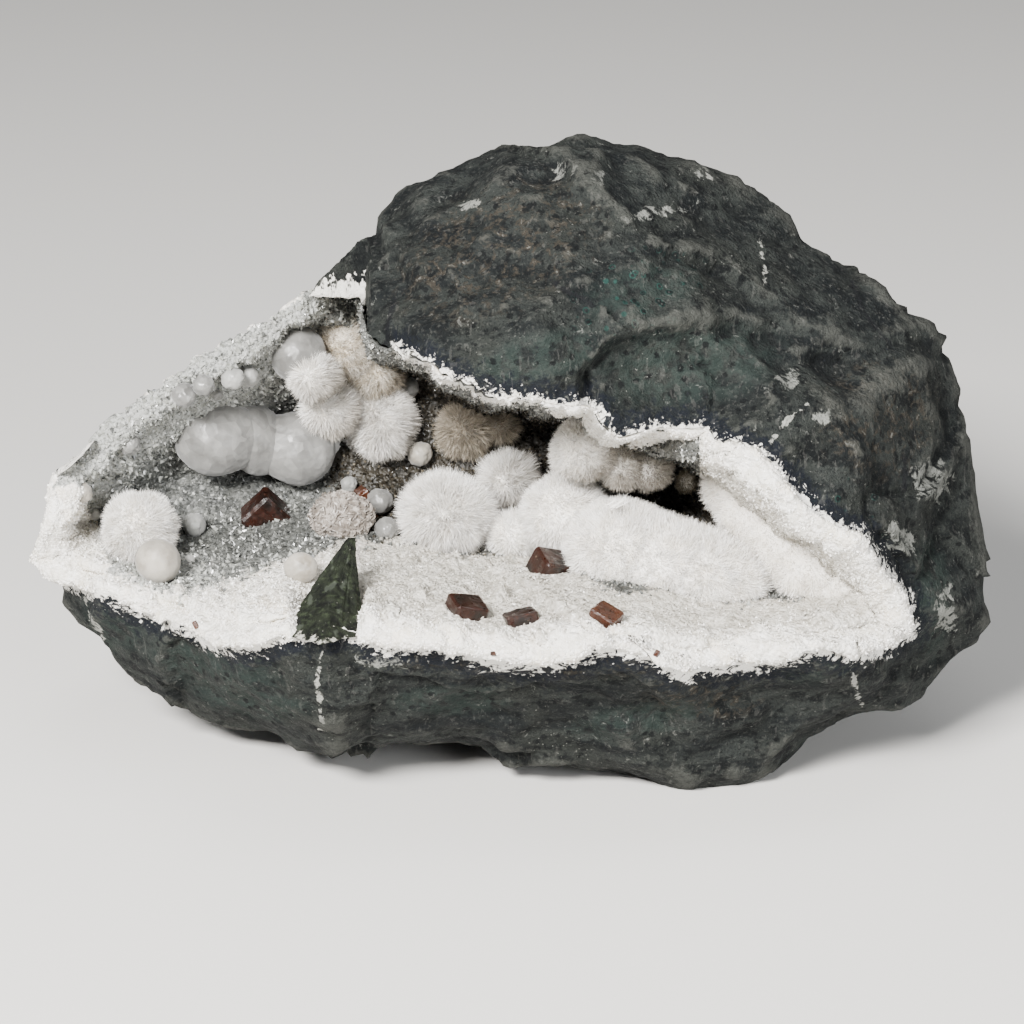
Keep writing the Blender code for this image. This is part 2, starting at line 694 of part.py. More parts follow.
def crust_depth(u, w):
    """Depth of the crust's surface on the line of sight through u, w, or on
    the closest line towards the middle that meets it."""
    for share in np.arange(1.0, 0.5, -0.01):
        a = RIM_MIDDLE[0] + (u - RIM_MIDDLE[0]) * share
        b = RIM_MIDDLE[1] + (w - RIM_MIDDLE[1]) * share
        near, far = world(a, b, np.array([-90.0, 200.0]))
        way = (far - near) / np.linalg.norm(far - near)
        at = ROOM_TREE.ray_cast(Vector(near), Vector(way))[0]
        if at is not None and drawing(np.array(at))[2] > -62.0:
            return float(drawing(np.array(at))[2])
    raise ValueError(f"{u}, {w} is outside the hollow")


def seat(u, w, radius, sink):
    """Depth at which a ball seen at u, w rests on the crust, sunk by a share
    of its radius."""
    wall = crust_depth(u, w)
    for t in np.arange(wall, wall - 2.6 * radius, -0.25):
        middle = Vector(world(u, w, t))
        if (ROOM_TREE.find_nearest(middle)[0] - middle).length >= radius * (1 - sink):
            return float(t)
    return wall - 0.7 * radius  # beside the rim, where it grows out of the wall


def lobe(u, w, radii, sink=0.25, depth=None, lumpiness=0.05, seed=0):
    """A ball primitive, squashed to radii (across, up, along the sight) and
    seated on the crust unless its depth is given."""
    across, up, along = radii
    if depth is None:
        depth = seat(u, w, min(radii), sink)
    scale = (EYE + depth) / EYE
    bm = bmesh.new()
    around, up_and_down = (7, 5)
    if max(radii) > 3.0:
        around, up_and_down = (9, 6)
    if max(radii) > 6.5:
        around, up_and_down = (12, 6)
    bmesh.ops.create_uvsphere(
        bm, u_segments=around, v_segments=up_and_down, radius=1.0
    )
    n = np.array([v.co.normalized()[:] for v in bm.verts])
    size = np.array([across, along, up]) * scale
    p = n * size * (1.0 + lumpiness * lumps(n * 10.0, 9.0, 20 + seed))[:, None]
    # lean the ball's own axes over to the drawing's
    y, z = p[:, 1] * COS + p[:, 2] * SIN, -p[:, 1] * SIN + p[:, 2] * COS
    middle = world(u, w, depth)
    for v, a, b, c in zip(bm.verts, p[:, 0], y, z):
        v.co = Vector((middle[0] + a, middle[1] + b, middle[2] + c)) * MM
    return bm


def grown(name, lobes, kind, **more):
    """One grown piece: its lobes joined in one solid and trimmed to the crust."""
    pieces = []
    for i, (u, w, *radii) in enumerate(lobes):
        depth = radii[3] if len(radii) > 3 else None
        radii = (radii + radii[-1:] * 2)[:3] if len(radii) < 3 else radii[:3]
        bm = lobe(u, w, radii, depth=depth, seed=len(name) + i, **more)
        pieces.append(new_object(name if i == 0 else f"{name}_lobe_{i}", bm, PARTS))
    whole = pieces[0]
    for other in pieces[1:]:
        boolean(whole, other, "UNION")
        bpy.data.objects.remove(other, do_unlink=True)
    boolean(whole, room, "INTERSECT")
    return finish(largest_part(whole), kind)


def keep_apart(behind, front):
    """Cuts the front piece, swollen by the joint, out of the one behind."""
    bm = bmesh.new()
    bm.from_mesh(front.data)
    boolean(behind, cutter(f"{behind.name}_from_{front.name}", swell(bm, SLACK)))
    return largest_part(behind)


# u, w, then the radii across, up and along the line of sight
grown("okenite_left", [(-69.9, 40.0, 7.0)], "okenite")
grown("okenite_upper", [(-31.4, 74.2, 7.4, 7.4, 6.0, -4.0), (-25.6, 70.0, 5.6, 5.6, 5.0, -3.0)], "cream")
grown("okenite_twin", [(-37.0, 68.6, 4.7, 4.7, 4.7, -12.0), (-34.0, 62.8, 5.3, 5.3, 5.3, -4.5)], "okenite")
grown("okenite_streaked", [(-24.4, 60.6, 5.8, 7.4, 5.8)], "okenite")
grown("okenite_deep", [(-8.5, 58.6, 5.3, 5.3, 5.3, 2.0), (-2.0, 59.6, 3.6, 3.6, 3.6, 2.0)], "cream")
grown("okenite_centre", [(-12.0, 42.7, 8.6, 7.6, 8.0)], "okenite")
grown("okenite_behind", [(-0.4, 49.3, 5.3)], "okenite")
grown(
    "okenite_cluster",
    [
        (0.0, 38.5, 4.8, 4.8, 5.2, -13.0), (10.0, 43.0, 7.8, 7.8, 8.0, -15.0),
        (20.5, 35.4, 10.3, 10.3, 11.0, -21.0), (29.0, 32.7, 9.3, 9.3, 11.0, -24.0),
        (36.0, 31.0, 8.6, 8.6, 10.0, -25.0), (42.0, 29.6, 6.8, 6.8, 8.0, -25.0),
    ],
    "okenite",
)
grown(
    "okenite_roof",
    [(13.7, 55.0, 6.2, 6.2, 6.2, -24.0), (20.7, 51.8, 4.4, 4.4, 5.5, -20.0), (26.3, 51.4, 4.4, 4.4, 5.5, -18.0)],
    "okenite",
)
grown("okenite_bead", [(33.1, 48.9, 2.1)], "okenite")
grown(
    "okenite_right",
    [
        (40.8, 47.6, 4.8, 4.8, 6.0, -22.0), (43.6, 42.7, 5.8, 5.8, 7.0, -23.0),
        (49.6, 37.6, 6.6, 6.4, 7.0, -25.0), (55.0, 32.0, 7.0, 6.6, 7.0, -27.0),
        (61.0, 28.6, 5.4, 5.2, 6.0, -29.0),
    ],
    "okenite",
)

grown(
    "gyrolite_cluster",
    [(-55.8, 57.5, 7.5, 7.5, 6.0, -6.0), (-48.1, 57.0, 4.4, 6.8, 5.4, -2.0), (-40.0, 55.1, 7.0, 7.0, 5.0, -1.0)],
    "gyrolite", lumpiness=0.02,
)
grown("gyrolite_upper", [(-40.0, 72.8, 5.4, 5.4, 5.4, -13.0)], "gyrolite", lumpiness=0.02)
grown("gyrolite_pair", [(-52.4, 68.3, 2.2), (-49.3, 68.6, 2.1)], "gyrolite")
grown("gyrolite_rim_a", [(-61.4, 65.0, 2.3)], "gyrolite")
grown("gyrolite_rim_b", [(-57.7, 67.0, 2.1)], "gyrolite")
grown("gyrolite_rim_c", [(-71.6, 55.9, 2.0)], "gyrolite")
grown("gyrolite_rim_d", [(-55.2, 65.2, 1.2)], "gyrolite")
grown("gyrolite_tip", [(-80.6, 46.8, 2.0)], "gyrolite")
grown("gyrolite_low", [(-66.4, 34.0, 4.3)], "gyrolite", lumpiness=0.02)
grown("gyrolite_dot", [(-59.6, 40.8, 2.2)], "gyrolite")
grown("gyrolite_rosette", [(-31.8, 42.3, 6.3, 4.9, 4.2)], "rosette")
grown("gyrolite_side_a", [(-24.6, 45.2, 2.5)], "gyrolite")
grown("gyrolite_side_b", [(-23.3, 40.0, 2.3)], "gyrolite")
grown("gyrolite_side_c", [(-30.5, 48.4, 1.6)], "gyrolite")
grown("gyrolite_disc", [(-39.5, 32.7, 3.2, 2.9, 1.8)], "gyrolite")
grown("gyrolite_back_a", [(-17.1, 54.1, 2.4)], "gyrolite")
grown("gyrolite_back_b", [(-19.0, 66.6, 1.9)], "gyrolite")



def crystal(name, u, w, size, turn, kind, sink=0.35, others=()):
    """A blocky crystal: a cube primitive with chamfered edges, turned and set
    in the crust. size is across, along the sight and up."""
    depth = crust_depth(u, w) - (0.5 - sink) * size[1]
    whole = None
    for du, dw, dims, spin in ((0.0, 0.0, size, turn), *others):
        bm = bmesh.new()
        bmesh.ops.create_cube(bm, size=1.0)
        bmesh.ops.bevel(
            bm, geom=bm.edges[:], offset=0.09, segments=1, affect="EDGES", profile=0.5
        )
        bmesh.ops.scale(bm, vec=Vector(dims), verts=bm.verts)
        way = Euler([math.radians(a) for a in spin]).to_matrix()
        bmesh.ops.rotate(bm, cent=(0, 0, 0), matrix=way, verts=bm.verts)
        middle = Vector(world(u + du, w + dw, depth))
        for v in bm.verts:
            v.co = (v.co + middle) * MM
        piece = new_object(name if whole is None else name + "_more", bm, PARTS)
        if whole is None:
            whole = piece
        else:
            boolean(whole, piece, "UNION")
            bpy.data.objects.remove(piece, do_unlink=True)
    boolean(whole, room, "INTERSECT")
    return finish(largest_part(whole), kind)


crystal("brown_diamond", -45.9, 42.5, (7.6, 5.5, 7.2), (10, 45, 12), "brown")
crystal("brown_blade", -26.7, 44.6, (2.2, 4.0, 7.0), (-8, -28, 20), "amber")
crystal("brown_shaded", 7.0, 32.4, (6.0, 6.0, 6.0), (20, 18, 30), "brown", sink=0.2)
crystal("brown_front_a", -8.5, 24.4, (6.4, 5.5, 4.6), (12, 14, 25), "brown", sink=0.15)
crystal("brown_front_b", 1.9, 22.8, (5.6, 4.5, 3.2), (-6, -10, 15), "brown", sink=0.15)
crystal("brown_front_c", 17.7, 23.2, (4.8, 4.5, 3.6), (8, 20, -30), "amber", sink=0.15)
crystal(
    "white_plates", -32.6, 56.2, (2.3, 1.0, 4.4), (0, 12, 20), "gyrolite", sink=0.1,
    others=((1.7, -0.5, (2.0, 0.9, 2.6), (5, -20, -25)),),
)

# The green spur: a cone primitive with ridges, standing in the rim's crust.
SPUR_FOOT, SPUR_TIP = (-34.4, 22.6, -53.0), (-29.9, 38.4, -43.0)
SPUR_ACROSS, SPUR_ALONG, SPUR_BURIED = 6.4, 8.0, 2.4


def spur_cone():
    bm = bmesh.new()
    bmesh.ops.create_cone(
        bm, cap_ends=True, segments=10, radius1=1.0, radius2=0.12, depth=2.0
    )
    for v in bm.verts:
        x, y, z = v.co
        corner = round(math.degrees(math.atan2(y, x)) / 36.0)
        ridge = 1.0 if corner % 2 else 0.84
        if z > 0.0:
            p = world(SPUR_TIP[0] + x * 5.0, SPUR_TIP[1], SPUR_TIP[2] + y * 5.0)
        else:
            t = SPUR_FOOT[2] + y * ridge * SPUR_ALONG
            w = SPUR_FOOT[1] + (t - SPUR_FOOT[2]) * 0.30
            p = world(SPUR_FOOT[0] + x * ridge * SPUR_ACROSS, w, t)
            p[2] -= SPUR_BURIED
        v.co = Vector(p) * MM
    return bm


spur = new_object("celadonite_spur", spur_cone(), PARTS, "celadonite")
boolean(spur, cutter("spur_room", IN_ROCK.inside(2.0 * JOINT).ball()), "INTERSECT")
largest_part(spur)
boolean(lining, cutter("spur_cut", swell(spur_cone(), SLACK)))
largest_part(lining)

piece = PARTS.objects
for behind, front in (
    ("okenite_twin", "okenite_streaked"),
    ("okenite_upper", "okenite_streaked"),
    ("okenite_upper", "okenite_twin"),
    ("gyrolite_upper", "okenite_twin"),
    ("okenite_upper", "gyrolite_upper"),
    ("okenite_twin", "gyrolite_cluster"),
    ("white_plates", "okenite_twin"),
    ("okenite_left", "gyrolite_low"),
    ("okenite_right", "okenite_cluster"),
    ("okenite_cluster", "okenite_centre"),
    ("brown_blade", "gyrolite_rosette"),
    ("brown_blade", "gyrolite_side_a"),
    ("gyrolite_side_c", "brown_blade"),
):
    keep_apart(piece[behind], piece[front])

for obj in (*PARTS.objects, *CUTTERS.objects):
    obj.location = Vector(ORIGIN) * -MM
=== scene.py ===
"""Looks of the okenite puffball specimen: the rock's broken skin, the drusy
crust, the needle balls, gyrolite, brown crystals and the green spur, built
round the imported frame. Lengths are in millimetres until a mesh is made."""

import math

import bpy
import bmesh
import numpy as np
from mathutils import Euler, Matrix, Vector, noise
from mathutils.bvhtree import BVHTree

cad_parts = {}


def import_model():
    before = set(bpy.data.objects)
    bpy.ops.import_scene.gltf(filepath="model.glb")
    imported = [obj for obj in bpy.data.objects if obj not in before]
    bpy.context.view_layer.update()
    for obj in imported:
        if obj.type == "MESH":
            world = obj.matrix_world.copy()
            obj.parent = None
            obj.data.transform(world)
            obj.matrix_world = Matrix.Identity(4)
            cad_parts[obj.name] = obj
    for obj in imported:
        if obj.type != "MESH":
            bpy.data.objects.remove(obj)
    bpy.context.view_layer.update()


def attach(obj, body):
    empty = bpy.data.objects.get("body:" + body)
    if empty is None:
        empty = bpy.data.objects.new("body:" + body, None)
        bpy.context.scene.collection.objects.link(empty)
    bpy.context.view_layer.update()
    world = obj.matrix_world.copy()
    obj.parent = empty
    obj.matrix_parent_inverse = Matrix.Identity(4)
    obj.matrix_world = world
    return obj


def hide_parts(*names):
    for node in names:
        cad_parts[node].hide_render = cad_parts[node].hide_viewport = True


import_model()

MM = 0.001

# ---------------------------------------------------------------- dimensions
VIEW_TILT = math.radians(19.0)  # the front drawing looks down at the specimen
EYE = 722.0  # distance of the drawing's eye from t = 0
DRAWING_CENTRE = (0.2, 43.2)

ORIGIN = (1.215, 5.660, 0.0)  # middle of the finished piece's footprint

BODY_CENTRE = (0.0, 6.0, 56.0)
HALF_LENGTH = 90.0
HALF_UP, HALF_DOWN = 59.0, 60.0
HALF_BACK = 56.0
HALF_FRONT_LOW, HALF_FRONT_HIGH = 57.0, 45.0
SQUARENESS = 2.35
REST_LEVEL = 0.0

# Broken outline of the rock on the front drawing, round its middle.
OUTLINE_MIDDLE = (0.0, 54.0)
ROCK_OUTLINE = [
    (-90.2, 34.6), (-87.6, 44.6), (-86.7, 51.1), (-82.0, 54.0), (-77.3, 59.6),
    (-72.6, 63.4), (-66.0, 67.1), (-58.5, 72.8), (-49.1, 78.4), (-39.7, 84.0),
    (-35.0, 90.6), (-30.3, 95.9), (-26.7, 97.0), (-26.1, 100.6), (-20.9, 104.7),
    (-15.2, 107.5), (-8.6, 111.3), (-2.1, 113.6), (6.4, 114.9), (16.7, 115.2),
    (26.1, 114.5), (35.5, 111.3), (43.1, 107.5), (52.5, 101.9), (60.0, 96.3),
    (67.5, 89.7), (74.1, 83.1), (80.7, 75.6), (85.4, 67.1), (88.2, 60.5),
    (89.7, 56.8), (89.1, 49.3), (89.5, 34.2), (90.4, 27.6), (91.0, 22.7),
    (88.2, 19.2), (82.3, 11.7), (79.7, 7.1), (74.4, 3.6), (67.3, 2.4),
    (58.5, -0.8), (52.6, -5.3), (43.8, -8.5), (33.7, -9.8), (24.3, -7.5),
    (17.5, -5.6), (7.5, -4.1), (-6.2, -1.1), (-13.2, -2.4), (-27.8, -2.8),
    (-31.6, -4.5), (-35.2, -6.0), (-41.4, -4.3), (-48.9, -0.8), (-60.0, 4.1),
    (-65.6, 7.3), (-72.4, 12.6), (-76.7, 18.4), (-82.5, 21.2), (-86.3, 25.0),
    (-86.7, 28.2),
]

# Rim of the hollow on the front drawing, where the white crust meets the rock.
RIM_MIDDLE = (-20.9, 41.7)
RIM_OUTLINE = [
    (-89.5, 34.2), (-85.7, 31.4), (-79.5, 29.1), (-75.0, 28.2), (-70.5, 25.9),
    (-65.4, 23.7), (-60.3, 21.8), (-56.2, 18.6), (-47.6, 18.6), (-43.1, 20.5),
    (-37.6, 20.9), (-32.1, 21.4), (-28.6, 20.5), (-23.9, 18.6), (-17.5, 18.2),
    (-10.9, 18.2), (-4.5, 15.6), (0.8, 15.6), (5.8, 15.0), (11.1, 16.2),
    (15.4, 18.2), (21.8, 17.7), (26.1, 16.2), (32.7, 13.2), (38.9, 15.0),
    (43.8, 15.1), (48.7, 15.6), (53.6, 17.3), (58.1, 18.2), (63.7, 17.3),
    (68.4, 16.9), (71.3, 19.2), (74.4, 21.2), (73.5, 27.3), (70.3, 30.8),
    (68.1, 34.0), (65.2, 38.2), (59.8, 39.9), (55.6, 43.6), (51.5, 47.8),
    (47.9, 51.7), (45.7, 54.1), (42.5, 55.8), (39.3, 55.5), (36.1, 59.0),
    (33.3, 58.7), (26.9, 59.0), (20.3, 57.2), (17.5, 59.4), (14.9, 63.2),
    (8.8, 63.5), (1.5, 64.9), (-4.7, 64.5), (-7.3, 67.1), (-10.7, 67.9),
    (-16.0, 71.6), (-22.4, 73.9), (-26.9, 76.7), (-28.4, 83.8), (-38.4, 83.5),
    (-39.7, 82.5), (-49.1, 76.9), (-58.5, 71.3), (-66.0, 65.8), (-72.4, 62.0),
    (-76.7, 58.5), (-81.2, 53.0), (-85.2, 50.0), (-86.3, 44.4), (-88.4, 38.0),
]
ROOF_FROM_DEG, ROOF_TO_DEG = 11.0, 100.0  # the part of the rim under the roof
FLOOR_TO_DEG = -10.0  # the rim's lower part ends here, at the right
BACK_TO_DEG = 172.0  # from the roof's left end to here the rim is at the back

CEILING_DEPTH = -6.0  # t to which the roof runs straight back
DEEPEST = 5.0  # t of the back wall behind the rim's middle
BACK_WALL = 12.0  # the least rock behind the back wall, away from the rim
FLOOR_GAIN, SIDE_GAIN, ROOF_GAIN = 3.0, 5.0, 9.0  # depth for each mm from the rim
CRUST = 2.9  # thickness of the quartz lining
JOINT = 0.3  # clear gap between neighbouring pieces
SLACK = 0.36  # how far a cut stands off the piece that it makes room for

SEGMENTS, RINGS = 48, 7  # of the hollow's mesh

SIN, COS = math.sin(VIEW_TILT), math.cos(VIEW_TILT)


# ------------------------------------------------------- drawing to the world
def world(u, w, t):
    """Points on the front drawing at depth t, as X, Y, Z."""
    grow = (EYE + t) / EYE
    x = DRAWING_CENTRE[0] + (u - DRAWING_CENTRE[0]) * grow
    up = DRAWING_CENTRE[1] + (w - DRAWING_CENTRE[1]) * grow
    return np.stack([x, up * SIN + t * COS, up * COS - t * SIN], -1)


def drawing(p):
    """The other way round: X, Y, Z to u, w and t."""
    t = p[..., 1] * COS - p[..., 2] * SIN
    up = p[..., 1] * SIN + p[..., 2] * COS
    grow = (EYE + t) / EYE
    return (
        DRAWING_CENTRE[0] + (p[..., 0] - DRAWING_CENTRE[0]) / grow,
        DRAWING_CENTRE[1] + (up - DRAWING_CENTRE[1]) / grow,
        t,
    )


def step(low, high, x):
    s = np.clip((x - low) / (high - low), 0.0, 1.0)
    return s * s * (3.0 - 2.0 * s)


def polar(points, middle):
    """A star-shaped outline as angles and radii, sampled along its edges."""
    pts = np.array(points + points[:1], float)
    along = np.linspace(0.0, 1.0, 24, endpoint=False)[:, None]
    pts = np.concatenate(
        [pts[i] + (pts[i + 1] - pts[i]) * along for i in range(len(pts) - 1)]
    )
    rel = pts - np.array(middle)
    angle = np.arctan2(rel[:, 1], rel[:, 0])
    order = np.argsort(angle)
    return angle[order], np.hypot(rel[:, 0], rel[:, 1])[order]


def radius_at(table, angle):
    return np.interp(angle, table[0], table[1], period=2.0 * math.pi)


def lumps(p, size, seed, octaves=2):
    """Smooth noise between about -1 and 1 at each point."""
    shift = Vector((seed * 7.31, seed * 3.17, seed * 5.73))
    out = np.empty(len(p))
    for i, q in enumerate(p):
        v = Vector(q) / size + shift
        total, weight = 0.0, 1.0
        for _ in range(octaves):
            total += noise.noise(v) * weight
            v = v * 2.03
            weight *= 0.5
        out[i] = total
    return out * 1.4


# --------------------------------------------------------------- rock surface
# Flat breaks of the outer skin: direction and share of the skin's own reach.
BREAKS = [
    ((0.80, -0.58, -0.12), 0.93),
    ((0.97, 0.10, -0.20), 0.96),
    ((0.45, -0.45, 0.77), 0.95),
    ((-0.10, -0.62, 0.78), 0.94),
    ((-0.30, 0.55, 0.78), 0.94),
    ((0.55, 0.60, 0.58), 0.93),
    ((-0.75, 0.60, 0.10), 0.95),
    ((0.25, 0.93, -0.25), 0.94),
    ((-0.60, -0.62, -0.50), 0.95),
    ((0.20, -0.80, -0.57), 0.96),
    ((-0.45, 0.60, -0.65), 0.94),
    ((0.70, 0.25, -0.65), 0.94),
]


def reach(d):
    """How far the smooth skin is from the body's centre along d."""
    front = HALF_FRONT_LOW + (HALF_FRONT_HIGH - HALF_FRONT_LOW) * step(
        -0.30, 0.30, d[:, 2]
    )
    a = np.full(len(d), HALF_LENGTH)
    b = np.where(d[:, 1] > 0, HALF_BACK, front)
    c = np.where(d[:, 2] > 0, HALF_UP, HALF_DOWN)
    n = SQUARENESS
    total = (
        np.abs(d[:, 0] / a) ** n + np.abs(d[:, 1] / b) ** n + np.abs(d[:, 2] / c) ** n
    )
    return total ** (-1.0 / n)


def raw_skin(d):
    """The skin before it is fitted to the outline: an ellipsoid with flats."""
    r = reach(d)
    for normal, share in BREAKS:
        n = np.array(normal) / np.linalg.norm(normal)
        level = share * float(reach(n[None])[0])
        facing = d @ n
        limit = np.where(facing > 0.15, level / np.maximum(facing, 0.15), 1e9)
        close = np.clip((r - limit) / 6.0 + 0.5, 0.0, 1.0)
        r = r * (1.0 - close) + limit * close - 6.0 * 0.5 * close * (1.0 - close)
    return np.array(BODY_CENTRE) + d * r[:, None]


def even_directions(n):
    """n directions spread evenly, along a spiral."""
    k = np.arange(n) + 0.5
    z = 1.0 - 2.0 * k / n
    turn = k * math.pi * (3.0 - math.sqrt(5.0))
    flat = np.sqrt(1.0 - z * z)
    return np.stack([flat * np.cos(turn), flat * np.sin(turn), z], -1)


ROCK_POLAR = polar(ROCK_OUTLINE, OUTLINE_MIDDLE)
RIM_POLAR = polar(RIM_OUTLINE, RIM_MIDDLE)


def measured_outline():
    """The raw skin's own outline on the drawing, as angle and radius."""
    p = raw_skin(even_directions(30000))
    u, w, _ = drawing(p)
    angle = np.arctan2(w - OUTLINE_MIDDLE[1], u - OUTLINE_MIDDLE[0])
    radius = np.hypot(w - OUTLINE_MIDDLE[1], u - OUTLINE_MIDDLE[0])
    bins = 120
    slot = ((angle + math.pi) / (2 * math.pi) * bins).astype(int) % bins
    best = np.zeros(bins)
    np.maximum.at(best, slot, radius)
    best = (np.roll(best, 1) + 2 * best + np.roll(best, -1)) / 4
    return (np.arange(bins) + 0.5) / bins * 2 * math.pi - math.pi, best


RAW_OUTLINE = measured_outline()


def hollowed(u, w, middle, size, power=2.0):
    """1 in the middle of an oval on the drawing, 0 outside it."""
    d = np.abs((u - middle[0]) / size[0]) ** power
    d = d + np.abs((w - middle[1]) / size[1]) ** power
    return np.clip(1.0 - d, 0.0, 1.0)


def skin(d):
    """The rock's outer skin, fitted to its outline on the drawing."""
    p = raw_skin(d)
    p = p + d * (2.2 * lumps(p, 26.0, 1) + 0.8 * lumps(p, 9.0, 2))[:, None]
    u, w, t = drawing(p)
    du, dw = u - OUTLINE_MIDDLE[0], w - OUTLINE_MIDDLE[1]
    angle, radius = np.arctan2(dw, du), np.hypot(du, dw)
    fit = radius_at(ROCK_POLAR, angle) / radius_at(RAW_OUTLINE, angle)
    near = step(0.25, 0.75, radius / radius_at(RAW_OUTLINE, angle))
    fit = 1.0 + (fit - 1.0) * near
    u, w = OUTLINE_MIDDLE[0] + du * fit, OUTLINE_MIDDLE[1] + dw * fit
    front = step(6.0, -14.0, t)
    # the scooped hollow above the roof's edge, right of the middle
    t = t + front * 7.0 * hollowed(u, w, (32.0, 68.0), (19.0, 11.5)) ** 0.8
    # the swelling brow over the roof's edge, left of it
    t = t - front * 3.0 * hollowed(u, w, (-2.0, 76.0), (20.0, 12.0))
    # the front face below the rim stands forward
    t = t - front * 3.0 * hollowed(u, w, (4.0, 14.0), (60.0, 12.0))
    return world(u, w, t)


# ------------------------------------------------------------------ the hollow
class Depths:
    """Where lines of sight on the drawing enter and leave the rock's skin."""

    def __init__(self, ball):
        self.tree = BVHTree.FromPolygons(
            [tuple(v.co) for v in ball.verts], [[v.index for v in f.verts] for f in ball.faces]
        )

    def hit(self, u, w, back=False):
        near, far = world(np.float64(u), np.float64(w), np.array([-200.0, 200.0]))
        a, b = (far, near) if back else (near, far)
        way = (b - a) / np.linalg.norm(b - a)
        at = self.tree.ray_cast(Vector(a), Vector(way))[0]
        return None if at is None else float(drawing(np.array(at))[2])


def rim_depths(depths, count=360):
    """For angles round the rim: the depth of its front edge, and the depth at
    which the hollow's wall turns inward."""
    angles = (np.arange(count) + 0.5) / count * 2 * math.pi - math.pi
    radii = radius_at(RIM_POLAR, angles)
    edge, turn = np.empty(count), np.empty(count)
    for i, (a, r) in enumerate(zip(angles, radii)):
        u = RIM_MIDDLE[0] + r * math.cos(a)
        w = RIM_MIDDLE[1] + r * math.sin(a)
        inner = 0.985
        front = depths.hit(u, w)
        while front is None and inner > 0.8:
            u2 = RIM_MIDDLE[0] + r * inner * math.cos(a)
            w2 = RIM_MIDDLE[1] + r * inner * math.sin(a)
            front = depths.hit(u2, w2)
            inner -= 0.015
        back = depths.hit(u, w, back=True)
        back = front if back is None else back
        deg = math.degrees(a)
        if deg < -180 + 12:
            deg += 360
        middle = 0.5 * (front + back)
        if ROOF_FROM_DEG < deg < ROOF_TO_DEG:
            edge[i] = front + 0.6
            under = min(1.0, (deg - ROOF_FROM_DEG) / 9.0)
            turn[i] = front + 1.0 + (CEILING_DEPTH - front) * under
        elif ROOF_TO_DEG <= deg < BACK_TO_DEG:
            edge[i] = max(middle, back - 6.0)
            turn[i] = edge[i] + 1.0
        else:
            blend = 1.0 - min(1.0, abs(deg - BACK_TO_DEG) / 10.0) if deg > 90 else 0.0
            edge[i] = front + 0.6 + blend * (middle - front)
            turn[i] = edge[i] + 1.0
    for _ in range(2):
        turn = (np.roll(turn, 1) + 2 * turn + np.roll(turn, -1)) / 4
    calm = [turn]
    for rounds in (60, 600):
        t = turn.copy()
        for _ in range(rounds):
            t = (np.roll(t, 1) + 2 * t + np.roll(t, -1)) / 4
        calm.append(t)
    return angles, edge, calm


